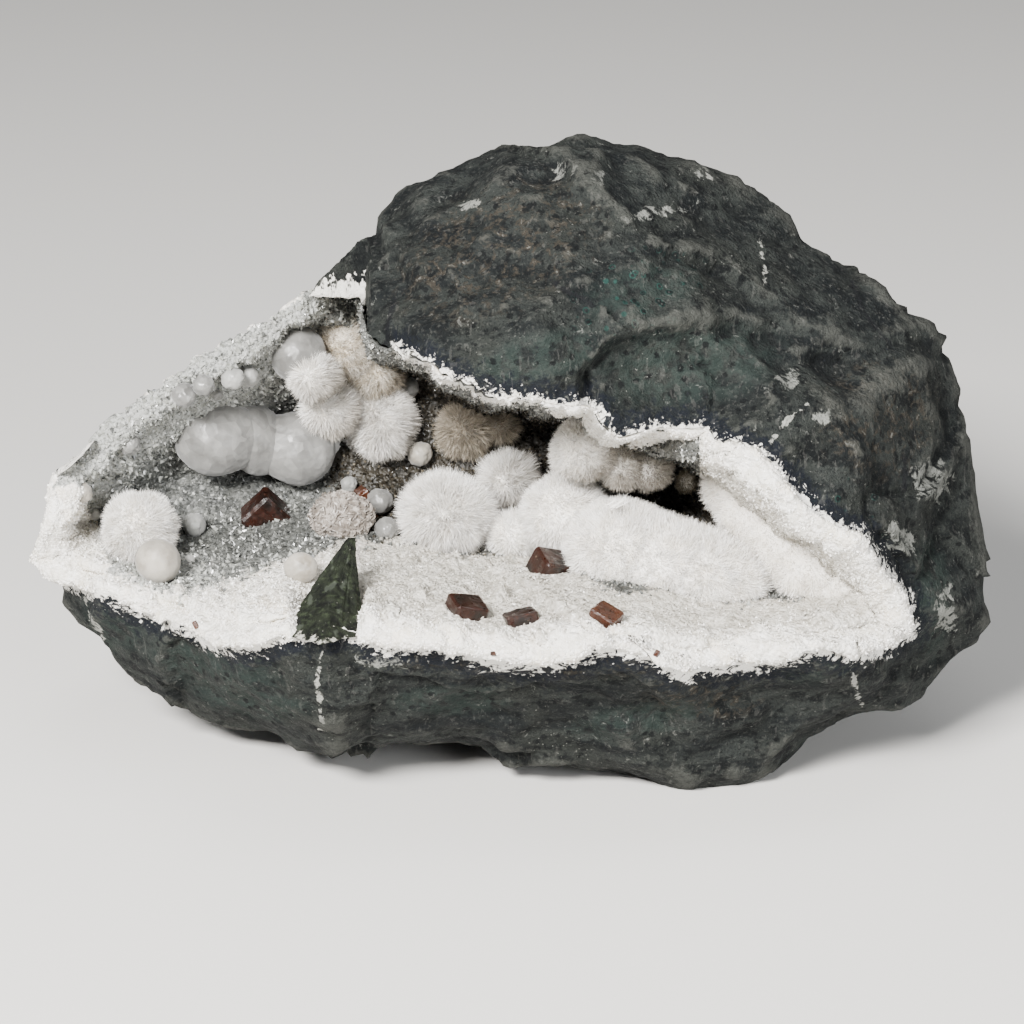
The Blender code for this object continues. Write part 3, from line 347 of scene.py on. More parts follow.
class Hollow:
    """Surfaces of the hollow in the drawing's polar coordinates round
    RIM_MIDDLE. share 0 is the middle of the opening and 1 its rim."""

    def __init__(self, depths):
        self.depths = depths
        self.table = rim_depths(depths)
        spots = []
        for w in np.arange(0.0, 100.0, 6.0):
            for u in np.arange(-96.0, 97.0, 6.0):
                b = depths.hit(u, w, back=True)
                spots.append(-999.0 if b is None else b)
        self.back = np.array(spots).reshape(17, 33)
        # the lower rim, as w and depth along u, sharp and then calm
        angles, _, (turn, _, _) = self.table
        deg = np.degrees(angles)
        low = (deg > -178.0) & (deg < FLOOR_TO_DEG)
        r = radius_at(RIM_POLAR, angles[low])
        u = RIM_MIDDLE[0] + r * np.cos(angles[low])
        w = RIM_MIDDLE[1] + r * np.sin(angles[low])
        order = np.argsort(u)
        grid = np.linspace(-90.0, 76.0, 84)
        self.low = [(grid, np.interp(grid, u[order], v[order])) for v in (w, turn[low])]
        wide = np.ones(9) / 9.0
        self.low_calm = [
            (grid, np.convolve(np.pad(v, 4, mode="edge"), wide, mode="valid"))
            for _, v in self.low
        ]

    def back_of(self, u, w):
        """Depth of the skin behind, from a coarse table."""
        x = np.clip((u + 96.0) / 6.0, 0, 31.999)
        y = np.clip(w / 6.0, 0, 15.999)
        i, j = y.astype(int), x.astype(int)
        fx, fy = x - j, y - i
        t = self.back
        total, weight = 0.0, 0.0
        for a, b, k in (
            (0, 0, (1 - fx) * (1 - fy)),
            (0, 1, fx * (1 - fy)),
            (1, 0, (1 - fx) * fy),
            (1, 1, fx * fy),
        ):
            v = t[i + a, j + b]
            k = np.where(v > -900, k, 0.0) + 1e-9
            total = total + np.where(v > -900, v, 0.0) * k
            weight = weight + k
        return total / weight

    def wall_depth(self, angle, share):
        """Depth of the hollow's wall in the rock."""
        rim = radius_at(RIM_POLAR, angle)
        sharp, calm, calmer = (
            np.interp(angle, self.table[0], t, period=2 * math.pi)
            for t in self.table[2]
        )
        # away from the rim the wall forgets the rim's small ups and downs
        turn = calm + (sharp - calm) * step(0.80, 1.0, share)
        turn = calmer + (turn - calmer) * step(0.25, 0.85, share)
        u = RIM_MIDDLE[0] + rim * share * np.cos(angle)
        w = RIM_MIDDLE[1] + rim * share * np.sin(angle)
        deg = np.degrees(angle)
        high = step(ROOF_FROM_DEG - 2, ROOF_FROM_DEG + 8, deg)
        high = np.maximum(high, step(-168.0, -178.0, deg))
        gain = SIDE_GAIN + (ROOF_GAIN - SIDE_GAIN) * high
        below = step(FLOOR_TO_DEG, FLOOR_TO_DEG - 8, deg) * (1.0 - high)
        sheet = turn + rim * (1.0 - share) * (gain + 40.0 * below)
        # the floor runs back from the lower rim
        edge = step(0.86, 1.0, share)
        (gu, gw), (_, gt) = self.low
        (_, cw), (_, ct) = self.low_calm
        low_w = np.interp(u, gu, cw) * (1 - edge) + np.interp(u, gu, gw) * edge
        low_t = np.interp(u, gu, ct) * (1 - edge) + np.interp(u, gu, gt) * edge
        floor = np.maximum(low_t + np.maximum(w - low_w, 0.0) * FLOOR_GAIN, -60.0)
        sheet = np.where(share > 0.999, turn, np.minimum(sheet, floor))
        back = DEEPEST + 0.22 * (w - RIM_MIDDLE[1]) - 26.0 * step(28.0, 78.0, u)
        back = np.minimum(back, self.back_of(u, w) - BACK_WALL * (1.0 - share**3) - 3.4)
        near = np.clip(0.5 + (back - sheet) / 12.0, 0.0, 1.0)
        t = back + (sheet - back) * near - 6.0 * near * (1.0 - near)
        t = np.maximum(t, turn)
        return t + 1.6 * lumps(world(u, w, t), 17.0, 5) * (1.0 - share**6)


def arc_angles(n):
    """n angles round the rim, even along its length."""
    a, r = RIM_POLAR
    a = np.append(a, a[0] + 2 * math.pi)
    r = np.append(r, r[0])
    x, y = r * np.cos(a), r * np.sin(a)
    gone = np.concatenate([[0], np.cumsum(np.hypot(np.diff(x), np.diff(y)))])
    return np.interp(np.arange(n) / n * gone[-1], gone, a)




class Shell:
    """One surface of the hollow: the radius of its rim for each segment and
    the depth of its wall for each ring, from the middle out to the rim."""

    share = np.sin(np.arange(RINGS + 1) / RINGS * math.pi / 2)[:, None]

    def __init__(self, angles, radii, depth):
        self.angles, self.radii, self.depth = angles, radii, depth

    def place(self, radii, depth):
        u = RIM_MIDDLE[0] + radii * np.cos(self.angles)
        w = RIM_MIDDLE[1] + radii * np.sin(self.angles)
        return world(u, w, depth)

    def ball(self, mouth=None):
        """A sphere primitive bent into the hollow: its back half becomes the
        wall, and its front half a straight throat out to the front, or the
        mouth, which closes the hollow so far ahead of the rock."""
        bm = bmesh.new()
        bmesh.ops.create_uvsphere(
            bm, u_segments=SEGMENTS, v_segments=2 * RINGS, radius=1.0
        )
        co = np.array([v.co[:] for v in bm.verts])
        turn = np.arctan2(co[:, 1], co[:, 0]) / (2 * math.pi) * SEGMENTS
        slot = np.round(turn).astype(int) % SEGMENTS
        ring = np.arccos(np.clip(co[:, 2], -1, 1)) / math.pi * 2 * RINGS
        ring = np.round(ring).astype(int)
        wall = self.place(self.radii * self.share, self.depth)
        if mouth is None:
            out = np.arange(RINGS + 1)[:, None] / RINGS
            depth = self.depth[-1] + (-95.0 - self.depth[-1]) * np.minimum(out * 2.2, 1.0)
            front = self.place(self.radii * np.where(out < 1.0, 1.0, 0.0), depth - 10 * out)
        else:
            share = self.share[::-1]
            edge = np.interp(
                self.angles, HOLLOW.table[0], HOLLOW.table[1], period=2 * math.pi
            )
            depth = -52.0 + (edge + 52.0) * share**1.6 - mouth
            front = self.place(self.radii * share, depth)
        for v, i, j in zip(bm.verts, ring, slot):
            v.co = Vector(wall[i, j] if i <= RINGS else front[i - RINGS, j]) * MM
        bmesh.ops.triangulate(bm, faces=bm.faces, quad_method="FIXED")
        return bm

    def inside(self, gap):
        """The shell that stays clear of this one by the gap. Its rim shrinks
        on the drawing, and its wall then comes forward until it is clear."""
        gap = gap / 0.93  # the front of the drawing is drawn larger
        x, y = self.radii * np.cos(self.angles), self.radii * np.sin(self.angles)
        a = np.stack([x, y], -1)
        ab = np.roll(a, -1, axis=0) - a
        radii = self.radii - gap
        for _ in range(24):
            p = np.stack([radii * np.cos(self.angles), radii * np.sin(self.angles)], -1)
            ap = p[:, None] - a[None]
            k = np.clip((ap * ab).sum(-1) / (ab * ab).sum(-1), 0.0, 1.0)
            far = np.linalg.norm(ap - ab * k[..., None], axis=-1).min(1)
            radii = radii - 0.8 * np.maximum(gap - far, 0.0)
        bm = self.ball()
        tree = BVHTree.FromBMesh(bm)
        bm.free()
        depth = self.depth.copy()
        depth[-1] -= 0.5 * gap
        for _ in range(12):
            p = self.place(radii * self.share, depth)
            for i in range(RINGS):
                for j in range(SEGMENTS if i else 1):
                    far = tree.find_nearest(Vector(p[i, j]) * MM)[3] / MM
                    depth[i, j] -= 1.05 * max(gap - far, 0.0)
            depth[0] = depth[0, 0]
        return Shell(self.angles, radii, depth)


# ------------------------------------------------------------- quick noise
def hashed(i, j, k, seed):
    h = (i * 374761393 + j * 668265263 + k * 1440662683 + seed * 974711) & 0xFFFFFFFF
    h = ((h ^ (h >> 13)) * 1274126177) & 0xFFFFFFFF
    h = h ^ (h >> 16)
    return (h & 0xFFFFFF) / float(0xFFFFFF) * 2.0 - 1.0


def value_noise(p, seed):
    base = np.floor(p).astype(np.int64)
    f = p - base
    f = f * f * (3.0 - 2.0 * f)
    out = np.zeros(len(p))
    for a in (0, 1):
        x = f[:, 0] if a else 1.0 - f[:, 0]
        for b in (0, 1):
            y = f[:, 1] if b else 1.0 - f[:, 1]
            for c in (0, 1):
                z = f[:, 2] if c else 1.0 - f[:, 2]
                h = hashed(base[:, 0] + a, base[:, 1] + b, base[:, 2] + c, seed)
                out += x * y * z * h
    return out


def fbm(p, size, seed, octaves=4, gain=0.5):
    q, total, weight = p / size, np.zeros(len(p)), 1.0
    for o in range(octaves):
        total += weight * value_noise(q + seed * 3.7 + o * 11.3, seed * 31 + o * 17)
        q = q * 2.03
        weight *= gain
    return total


def cells(p, size, seed):
    """Distance to the nearest and to the second nearest of scattered points,
    and a random number for the nearest."""
    q = p / size
    base = np.floor(q).astype(np.int64)
    first, second = np.full(len(p), 9.0), np.full(len(p), 9.0)
    mark = np.zeros(len(p))
    for a in (-1, 0, 1):
        for b in (-1, 0, 1):
            for c in (-1, 0, 1):
                i, j, k = base[:, 0] + a, base[:, 1] + b, base[:, 2] + c
                dx = i + 0.5 + 0.5 * hashed(i, j, k, seed) - q[:, 0]
                dy = j + 0.5 + 0.5 * hashed(i, j, k, seed + 1) - q[:, 1]
                dz = k + 0.5 + 0.5 * hashed(i, j, k, seed + 2) - q[:, 2]
                d = np.sqrt(dx * dx + dy * dy + dz * dz)
                closer = d < first
                second = np.where(closer, first, np.minimum(second, d))
                mark = np.where(closer, hashed(i, j, k, seed + 3), mark)
                first = np.where(closer, d, first)
    return first, second, mark


# ------------------------------------------------------------------ meshes
def mesh_object(name, points, faces, smooth=True, materials=(), attributes=None, slots=None):
    """A mesh from points in millimetres. faces is an array with three or four
    corners a row, or a list of such arrays."""
    groups = faces if isinstance(faces, list) else [faces]
    mesh = bpy.data.meshes.new(name)
    co = (np.asarray(points, float) - np.array(ORIGIN)) * MM
    mesh.vertices.add(len(co))
    mesh.vertices.foreach_set("co", co.astype(np.float32).ravel())
    loops = np.concatenate([g.ravel() for g in groups]).astype(np.int32)
    sizes = np.concatenate([np.full(len(g), g.shape[1]) for g in groups])
    starts = np.concatenate([[0], np.cumsum(sizes)[:-1]]).astype(np.int32)
    mesh.loops.add(len(loops))
    mesh.loops.foreach_set("vertex_index", loops)
    mesh.polygons.add(len(sizes))
    mesh.polygons.foreach_set("loop_start", starts)
    mesh.update(calc_edges=True)
    mesh.validate()
    mesh.polygons.foreach_set("use_smooth", np.full(len(mesh.polygons), smooth))
    for key, values in (attributes or {}).items():
        layer = mesh.attributes.new(key, "FLOAT", "POINT")
        layer.data.foreach_set("value", np.asarray(values, np.float32))
    for material in materials:
        mesh.materials.append(material)
    if slots is not None:
        mesh.polygons.foreach_set("material_index", np.asarray(slots, np.int32))
    obj = bpy.data.objects.new(name, mesh)
    bpy.context.scene.collection.objects.link(obj)
    return obj


def flat_map(obj, points, spread=None):
    """A map for baked colours: the front drawing, laid over the square."""
    mesh = obj.data
    u, w, _ = drawing(np.asarray(points, float))
    low_u, high_u, low_w, high_w = spread or (u.min(), u.max(), w.min(), w.max())
    span = max(high_u - low_u, high_w - low_w) + 1e-6
    uv = np.stack([(u - low_u) / span, (w - low_w) / span], -1) * 0.98 + 0.01
    layer = mesh.uv_layers.new(name="OFBake")
    index = np.empty(len(mesh.loops), np.int32)
    mesh.loops.foreach_get("vertex_index", index)
    layer.data.foreach_set("uv", uv[index].astype(np.float32).ravel())


def to_points(obj):
    co = np.empty(len(obj.data.vertices) * 3, np.float32)
    obj.data.vertices.foreach_get("co", co)
    return co.reshape(-1, 3).astype(float) / MM + np.array(ORIGIN)


def bmesh_object(name, bm):
    """An object from a bmesh in millimetres, without the origin's move."""
    mesh = bpy.data.meshes.new(name)
    bmesh.ops.recalc_face_normals(bm, faces=bm.faces)
    bm.to_mesh(mesh)
    bm.free()
    obj = bpy.data.objects.new(name, mesh)
    bpy.context.scene.collection.objects.link(obj)
    return obj


def cut(obj, cutter, how="DIFFERENCE"):
    """An exact Boolean, applied; the cutter is removed."""
    mod = obj.modifiers.new(how, "BOOLEAN")
    mod.operation, mod.solver, mod.object = how, "EXACT", cutter
    graph = bpy.context.evaluated_depsgraph_get()
    graph.update()
    mesh = bpy.data.meshes.new_from_object(obj.evaluated_get(graph))
    obj.modifiers.remove(mod)
    obj.data = mesh
    mesh.materials.clear()
    bpy.data.objects.remove(cutter, do_unlink=True)
    return obj


# --------------------------------------------------------------- materials
class Nodes:
    """Short hands for building one material."""

    def __init__(self, name, **sockets):
        self.mat = bpy.data.materials.new(name)
        self.mat.use_nodes = True
        self.tree = self.mat.node_tree
        self.shader = self.tree.nodes["Principled BSDF"]
        self.out = self.tree.nodes["Material Output"]
        for key, value in sockets.items():
            self.set(key.replace("_", " "), value)
        self.where = self.add("ShaderNodeTexCoord").outputs["Object"]

    def set(self, key, value):
        socket = self.shader.inputs[key]
        if hasattr(value, "is_output"):
            self.tree.links.new(value, socket)
        elif isinstance(value, tuple) and len(value) == 3 and socket.type == "RGBA":
            socket.default_value = (*value, 1.0)
        else:
            socket.default_value = value

    def add(self, kind, **settings):
        node = self.tree.nodes.new(kind)
        for key, value in settings.items():
            setattr(node, key, value)
        return node

    def link(self, a, b):
        if hasattr(a, "is_output"):
            self.tree.links.new(a, b)
        else:
            b.default_value = a

    def noise(self, scale, detail=4.0, rough=0.55, distortion=0.0, stretch=None):
        node = self.add("ShaderNodeTexNoise")
        node.inputs["Scale"].default_value = scale
        node.inputs["Detail"].default_value = detail
        node.inputs["Roughness"].default_value = rough
        node.inputs["Distortion"].default_value = distortion
        where = self.where
        if stretch is not None:
            turn, size = stretch
            place = self.add("ShaderNodeMapping")
            place.inputs["Rotation"].default_value = turn
            place.inputs["Scale"].default_value = size
            self.tree.links.new(where, place.inputs["Vector"])
            where = place.outputs["Vector"]
        self.tree.links.new(where, node.inputs["Vector"])
        return node.outputs["Fac"]

    def voronoi(self, scale, feature="F1", out="Distance", randomness=1.0):
        node = self.add("ShaderNodeTexVoronoi", feature=feature)
        node.inputs["Scale"].default_value = scale
        node.inputs["Randomness"].default_value = randomness
        self.tree.links.new(self.where, node.inputs["Vector"])
        return node.outputs[out]

    def attribute(self, name):
        node = self.add("ShaderNodeAttribute", attribute_name=name)
        return node.outputs["Fac"]

    def range(self, value, low, high, to_low=0.0, to_high=1.0, smooth=True):
        node = self.add("ShaderNodeMapRange", clamp=True)
        if smooth:
            node.interpolation_type = "SMOOTHSTEP"
        self.link(value, node.inputs["Value"])
        for key, v in (
            ("From Min", low), ("From Max", high), ("To Min", to_low), ("To Max", to_high)
        ):
            node.inputs[key].default_value = v
        return node.outputs["Result"]

    def math(self, how, a, b=0.0, clamp=False):
        node = self.add("ShaderNodeMath", operation=how, use_clamp=clamp)
        self.link(a, node.inputs[0])
        self.link(b, node.inputs[1])
        return node.outputs[0]

    def mix(self, factor, a, b, how="MIX"):
        node = self.add("ShaderNodeMix", data_type="RGBA", blend_type=how)
        self.link(factor, node.inputs["Factor"])
        for value, key in ((a, "A"), (b, "B")):
            socket = [s for s in node.inputs if s.name == key and s.type == "RGBA"][0]
            if hasattr(value, "is_output"):
                self.tree.links.new(value, socket)
            else:
                socket.default_value = (*value, 1.0)
        return [s for s in node.outputs if s.type == "RGBA"][0]

    def bump(self, height, strength, distance, after=None):
        node = self.add("ShaderNodeBump")
        node.inputs["Strength"].default_value = strength
        node.inputs["Distance"].default_value = distance * MM
        self.tree.links.new(height, node.inputs["Height"])
        if after is not None:
            self.tree.links.new(after, node.inputs["Normal"])
        self.set("Normal", node.outputs["Normal"])
        return node.outputs["Normal"]


def rgb(code):
    """A colour written as six hex digits, as linear values."""
    parts = [int(code[i : i + 2], 16) / 255.0 for i in (0, 2, 4)]
    return tuple(c / 12.92 if c <= 0.04045 else ((c + 0.055) / 1.055) ** 2.4 for c in parts)


PER_M = 1000.0  # texture scales below are written per millimetre

# ------------------------------------------------------- the piece's surfaces
# the CAD's own coarse shells, which seat every piece
start = bmesh.new()
bmesh.ops.create_icosphere(start, subdivisions=5, radius=1.0)
directions = np.array([v.co.normalized()[:] for v in start.verts])
for v, p in zip(start.verts, skin(directions)):
    v.co = Vector(p)
HOLLOW = Hollow(Depths(start))
start.free()

angles = (arc_angles(SEGMENTS) + math.pi) % (2 * math.pi) - math.pi
grid = np.broadcast_to(angles, (RINGS + 1, SEGMENTS)).ravel()
depth = HOLLOW.wall_depth(grid, np.broadcast_to(Shell.share, (RINGS + 1, SEGMENTS)).ravel())
depth = depth.reshape(RINGS + 1, SEGMENTS)
depth[0] = depth[0, 0]
IN_ROCK = Shell(angles, radius_at(RIM_POLAR, angles), depth)
CRUST_BACK = IN_ROCK.inside(JOINT)
CRUST_FRONT = CRUST_BACK.inside(CRUST)
ROOM = CRUST_FRONT.inside(JOINT)
room = ROOM.ball()
room_points = np.array([v.co[:] for v in room.verts]) / MM
ROOM_TREE = BVHTree.FromPolygons(
    [tuple(p) for p in room_points], [[v.index for v in f.verts] for f in room.faces]
)
room.free()


def crust_depth(u, w):
    """Depth of the crust's surface on the line of sight through u, w."""
    for share in np.arange(1.0, 0.5, -0.01):
        a = RIM_MIDDLE[0] + (u - RIM_MIDDLE[0]) * share
        b = RIM_MIDDLE[1] + (w - RIM_MIDDLE[1]) * share
        near, far = world(a, b, np.array([-90.0, 200.0]))
        way = (far - near) / np.linalg.norm(far - near)
        at = ROOM_TREE.ray_cast(Vector(near), Vector(way))[0]
        if at is not None and drawing(np.array(at))[2] > -62.0:
            return float(drawing(np.array(at))[2])
    return -40.0


def seat(u, w, radius, sink):
    wall = crust_depth(u, w)
    for t in np.arange(wall, wall - 2.6 * radius, -0.25):
        middle = Vector(world(u, w, t))
        if (ROOM_TREE.find_nearest(middle)[0] - middle).length >= radius * (1 - sink):
            return float(t)
    return wall - 0.7 * radius


def to_rim(u, w):
    """Signed distance to the rim on the drawing, outside positive."""
    a, r = RIM_POLAR
    keep = slice(None, None, 4)
    line = np.stack([RIM_MIDDLE[0] + r[keep] * np.cos(a[keep]), RIM_MIDDLE[1] + r[keep] * np.sin(a[keep])], -1)
    far = np.full(len(u), 1e9)
    for i in range(0, len(line)):
        p, q = line[i], line[(i + 1) % len(line)]
        d = q - p
        k = ((u - p[0]) * d[0] + (w - p[1]) * d[1]) / (d @ d + 1e-12)
        k = np.clip(k, 0.0, 1.0)
        far = np.minimum(far, np.hypot(u - p[0] - k * d[0], w - p[1] - k * d[1]))
    angle = np.arctan2(w - RIM_MIDDLE[1], u - RIM_MIDDLE[0])
    inside = np.hypot(u - RIM_MIDDLE[0], w - RIM_MIDDLE[1]) < radius_at(RIM_POLAR, angle)
    return np.where(inside, -far, far)


def px(x, y):
    """A spot measured in the drawing's own grid, as u and w."""
    return (x - 511.0) * 0.188, (742.0 - y) * 0.188


def ovals(u, w, spots):
    """The strongest of several soft ovals: (x, y, half width, half height,
    turn in degrees) in the drawing's grid."""
    best = np.zeros(len(u))
    for x, y, a, b, turn in spots:
        cu, cw = px(x, y)
        c, s = math.cos(math.radians(turn)), math.sin(math.radians(turn))
        du, dw = u - cu, w - cw
        along, across = du * c + dw * s, -du * s + dw * c
        d = (along / (a * 0.188)) ** 2 + (across / (b * 0.188)) ** 2
        best = np.maximum(best, np.clip(1.4 - d, 0.0, 1.0))
    return best


def near_line(u, w, points):
    """Distance in millimetres to a line drawn through spots of the grid."""
    far = np.full(len(u), 1e9)
    for (x1, y1), (x2, y2) in zip(points[:-1], points[1:]):
        p, q = np.array(px(x1, y1)), np.array(px(x2, y2))
        d = q - p
        k = np.clip(((u - p[0]) * d[0] + (w - p[1]) * d[1]) / (d @ d), 0.0, 1.0)
        far = np.minimum(far, np.hypot(u - p[0] - k * d[0], w - p[1] - k * d[1]))
    return far


# -------------------------------------------------------------- rock's surface
rng = np.random.default_rng(5)
CHIPS = rng.normal(size=(190, 3))
CHIPS /= np.linalg.norm(CHIPS, axis=1)[:, None]
CHIP_TILT = rng.normal(size=(190, 3)) * 0.22
CHIP_DEEP = rng.uniform(0.4, 2.1, 190)

FRONT_LEDGES = [
    ([(340, 721), (370, 713), (365, 685), (420, 691), (439, 700), (478, 710), (496, 705),
      (535, 698), (560, 695), (583, 698), (604, 689), (634, 684), (655, 702), (671, 718), (687, 725)], 1.8),
    ([(787, 765), (810, 735), (848, 723), (905, 690)], 1.2),
    ([(585, 372), (610, 347), (660, 330), (700, 321), (750, 318), (810, 335), (870, 362)], 2.6),
    ([(395, 205), (470, 178), (560, 160)], 0.9),
]


def rough_skin(d):
    """The skin with flat chips, small breaks and grain."""
    p = skin(d)
    dist = np.linalg.norm(p - np.array(BODY_CENTRE), axis=1)
    tips = skin(CHIPS)
    lower = np.full(len(p), 0.0)
    for c, tilt, deep, tip in zip(CHIPS, CHIP_TILT, CHIP_DEEP, tips):
        n = c + tilt
        n /= np.linalg.norm(n)
        close = d @ c > 0.93
        if not close.any():
            continue
        over = (p[close] - tip) @ n + deep
        facing = np.maximum(d[close] @ n, 0.4)
        soft = np.where(over > 0.3, over - 0.15, np.where(over > 0, over * over / 0.6, 0.0))
        lower[close] = np.maximum(lower[close], soft / facing)
    lower = np.minimum(lower, 2.6)
    u, w, t = drawing(p)
    grain = 0.55 * fbm(p, 5.5, 3, 4, 0.55) + 0.10 * value_noise(p / 0.9, 77)
    # slanting steps, like the banding
    bands = (w - 0.42 * u) / 4.6 + 1.1 * fbm(p, 19.0, 8, 3)
    saw = bands - np.floor(bands)
    step_up = np.where(saw < 0.82, saw / 0.82, (1.0 - saw) / 0.18)
    grain = grain + 0.45 * (step_up - 0.5) * np.clip(0.6 + fbm(p, 14.0, 21, 2), 0.0, 1.0)
    ledge = 0.0
    for line, size in FRONT_LEDGES:
        lw = np.interp(u, [px(*q)[0] for q in line], [px(*q)[1] for q in line])
        within = step(px(*line[0])[0] - 2, px(*line[0])[0] + 2, u) * (
            1 - step(px(*line[-1])[0] - 2, px(*line[-1])[0] + 2, u)
        )
        front = step(-5.0, -20.0, t)
        ledge = ledge + within * front * size * step(1.4, -0.6, w - lw) * step(-14.0, -2.0, w - lw)
    # worn smooth: the green-grey patch
    calm = ovals(u, w, [(540, 356, 70, 24, 14)]) * (t < -10)
    grain = grain * (1.0 - 0.6 * calm)
    # chips leave the measured outline alone where the skin turns away
    hard = 0.30 * np.abs(fbm(p, 2.6, 61, 3, 0.6)) * step(0.0, 0.5, fbm(p, 12.0, 62, 2))
    return p + d * (0.9 + grain - lower - ledge - hard)[:, None]


def build_rock():
    bm = bmesh.new()
    bmesh.ops.create_icosphere(bm, subdivisions=7, radius=1.0)
    d = np.array([v.co[:] for v in bm.verts])
    d /= np.linalg.norm(d, axis=1)[:, None]
    for v, q in zip(bm.verts, d):
        v.co = q
    p = skin(d)
    u, w, t = drawing(p)
    far = to_rim(u, w)
    wanted = (t < -8.0) & (far > -1.5) & (far < 17.0) & (w > -8)
    bm.verts.ensure_lookup_table()
    edges = [e for e in bm.edges if wanted[e.verts[0].index] and wanted[e.verts[1].index]]
    bmesh.ops.subdivide_edges(bm, edges=edges, cuts=1, use_grid_fill=True)
    bmesh.ops.triangulate(bm, faces=[f for f in bm.faces if len(f.verts) > 3])
    d = np.array([v.co[:] for v in bm.verts])
    d /= np.linalg.norm(d, axis=1)[:, None]
    for v, q in zip(bm.verts, rough_skin(d)):
        v.co = Vector(q)
    return bmesh_object("basalt_matrix_skin", bm)


def smooth_table(table, fine, shares, around):
    """A shell's values at its rings and segments, drawn out smoothly."""
    rows = np.array([
        np.interp(fine, around, row, period=2 * math.pi) for row in table
    ])
    coarse = Shell.share[:, 0]
    slot = np.interp(shares, coarse, np.arange(len(coarse)))
    i = np.clip(slot.astype(int), 0, len(coarse) - 2)
    f = (slot - i)[:, None]
    a, b = rows[np.maximum(i - 1, 0)], rows[i]
    c, e = rows[i + 1], rows[np.minimum(i + 2, len(coarse) - 1)]
    # between straight and rounded, which keeps clear of overshoots
    rounded = 0.5 * (2 * b + (c - a) * f + (2 * a - 5 * b + 4 * c - e) * f**2 + (3 * b - a - 3 * c + e) * f**3)
    return 0.35 * (b + (c - b) * f) + 0.65 * rounded


def jagged(angle, seed=0):
    """How far the rim strays in and out between its measured points."""
    q = np.stack([60.0 * np.cos(angle), 60.0 * np.sin(angle), np.full(len(angle), 3.0 + seed)], -1)
    return 0.55 * fbm(q, 2.6, 41 + seed, 3, 0.7)


def fine_shell(shell, count, shares):
    """u, w and t of a shell on a fine polar grid, true to the measured rim."""
    fine = (arc_angles(count) + math.pi) % (2 * math.pi) - math.pi
    order = np.argsort(shell.angles)
    around = shell.angles[order]
    t = smooth_table(shell.depth[:, order], fine, shares, around)
    r = np.interp(fine, around, shell.radii[order], period=2 * math.pi)
    order0 = np.argsort(IN_ROCK.angles)
    chord = np.interp(fine, IN_ROCK.angles[order0], IN_ROCK.radii[order0], period=2 * math.pi)
    extra = radius_at(RIM_POLAR, fine) - chord + jagged(fine)
    radii = r * shares[:, None] + extra * (shares[:, None] ** 6)
    # the rim's depth also follows the rock's edge closely
    return fine, radii, t


def polar_points(fine, radii, t):
    u = RIM_MIDDLE[0] + radii * np.cos(fine)
    w = RIM_MIDDLE[1] + radii * np.sin(fine)
    return world(u, w, t)


def ring_faces(rows, count):
    """Triangles between rings of a polar grid, row by row."""
    i = np.arange(rows - 1)[:, None] * count + np.arange(count)[None]
    j = np.arange(rows - 1)[:, None] * count + (np.arange(count) + 1)[None] % count
    a, b, c, e = i, j, i + count, j + count
    return np.stack([a, c, e, b], -1).reshape(-1, 4)


def hollow_cutter():
    count = 420
    shares = np.sin(np.linspace(0.02, 1.0, 26) * math.pi / 2)
    fine, radii, t = fine_shell(IN_ROCK, count, shares)
    wall = polar_points(fine, radii, t)
    rows = [wall]
    for out in np.linspace(0.06, 1.0, 9):
        deep = t[-1] + (-95.0 - t[-1]) * min(out * 1.3, 1.0) - 6.0 * out
        rows.append(polar_points(fine, radii[-1:], deep[None]))
    p = np.concatenate(rows)
    middle_back = p[0].mean(0)
    middle_front = p[-1].mean(0)
    n = len(p)
    p = p.reshape(-1, 3)
    faces = ring_faces(n, count)
    bm = bmesh.new()
    verts = [bm.verts.new(q) for q in p]
    for f in faces:
        bm.faces.new([verts[k] for k in f])
    back, front = bm.verts.new(middle_back), bm.verts.new(middle_front)
    last = (n - 1) * count
    for k in range(count):
        bm.faces.new([verts[(k + 1) % count], verts[k], back])
        bm.faces.new([verts[last + k], verts[last + (k + 1) % count], front])
    bmesh.ops.triangulate(bm, faces=bm.faces, quad_method="FIXED")
    return bmesh_object("hollow_cut", bm)


def box_of(function, cuts, rough, seed):
    bm = bmesh.new()
    bmesh.ops.create_cube(bm, size=2.0)
    bmesh.ops.subdivide_edges(bm, edges=bm.edges, cuts=cuts, use_grid_fill=True)
    bmesh.ops.triangulate(bm, faces=bm.faces)
    co = np.array([v.co[:] for v in bm.verts])
    p = function(co)
    if rough:
        shift = np.stack([fbm(p, 7.0, seed + i, 4, 0.6) for i in range(3)], -1)
        p = p + rough * shift
    for v, q in zip(bm.verts, p):
        v.co = Vector(q)
    return bmesh_object("box", bm)


def left_break(c):
    k = 0.5 + 0.5 * c[:, 0]
    up = 0.5 + 0.5 * c[:, 2]
    u = -120.0 + (120.0 - 26.9) * k
    low = 40.0 + 36.0 * k
    w = low + (140.0 - low) * up
    back = -2.0 + 19.0 * k
    # a slab of rock stays behind the upper part
    back = back + (-24.0 - back) * step(0.01, 0.11, up) * step(0.80, 0.86, k)
    t = -150.0 + (back + 150.0) * (0.5 + 0.5 * c[:, 1])
    return world(u, w, t)


def undercut():
    bm = bmesh.new()
    bmesh.ops.create_icosphere(bm, subdivisions=6, radius=1.0)
    n = np.array([v.co.normalized()[:] for v in bm.verts])
    p = n * np.array((33.0, 26.0, 11.5))
    p = p * (1.0 + 0.13 * fbm(p, 11.0, 9, 5, 0.6))[:, None] + np.array((-5.0, -56.0, 7.5))
    for v, q in zip(bm.verts, p):
        v.co = Vector(q)
    return bmesh_object("undercut", bm)


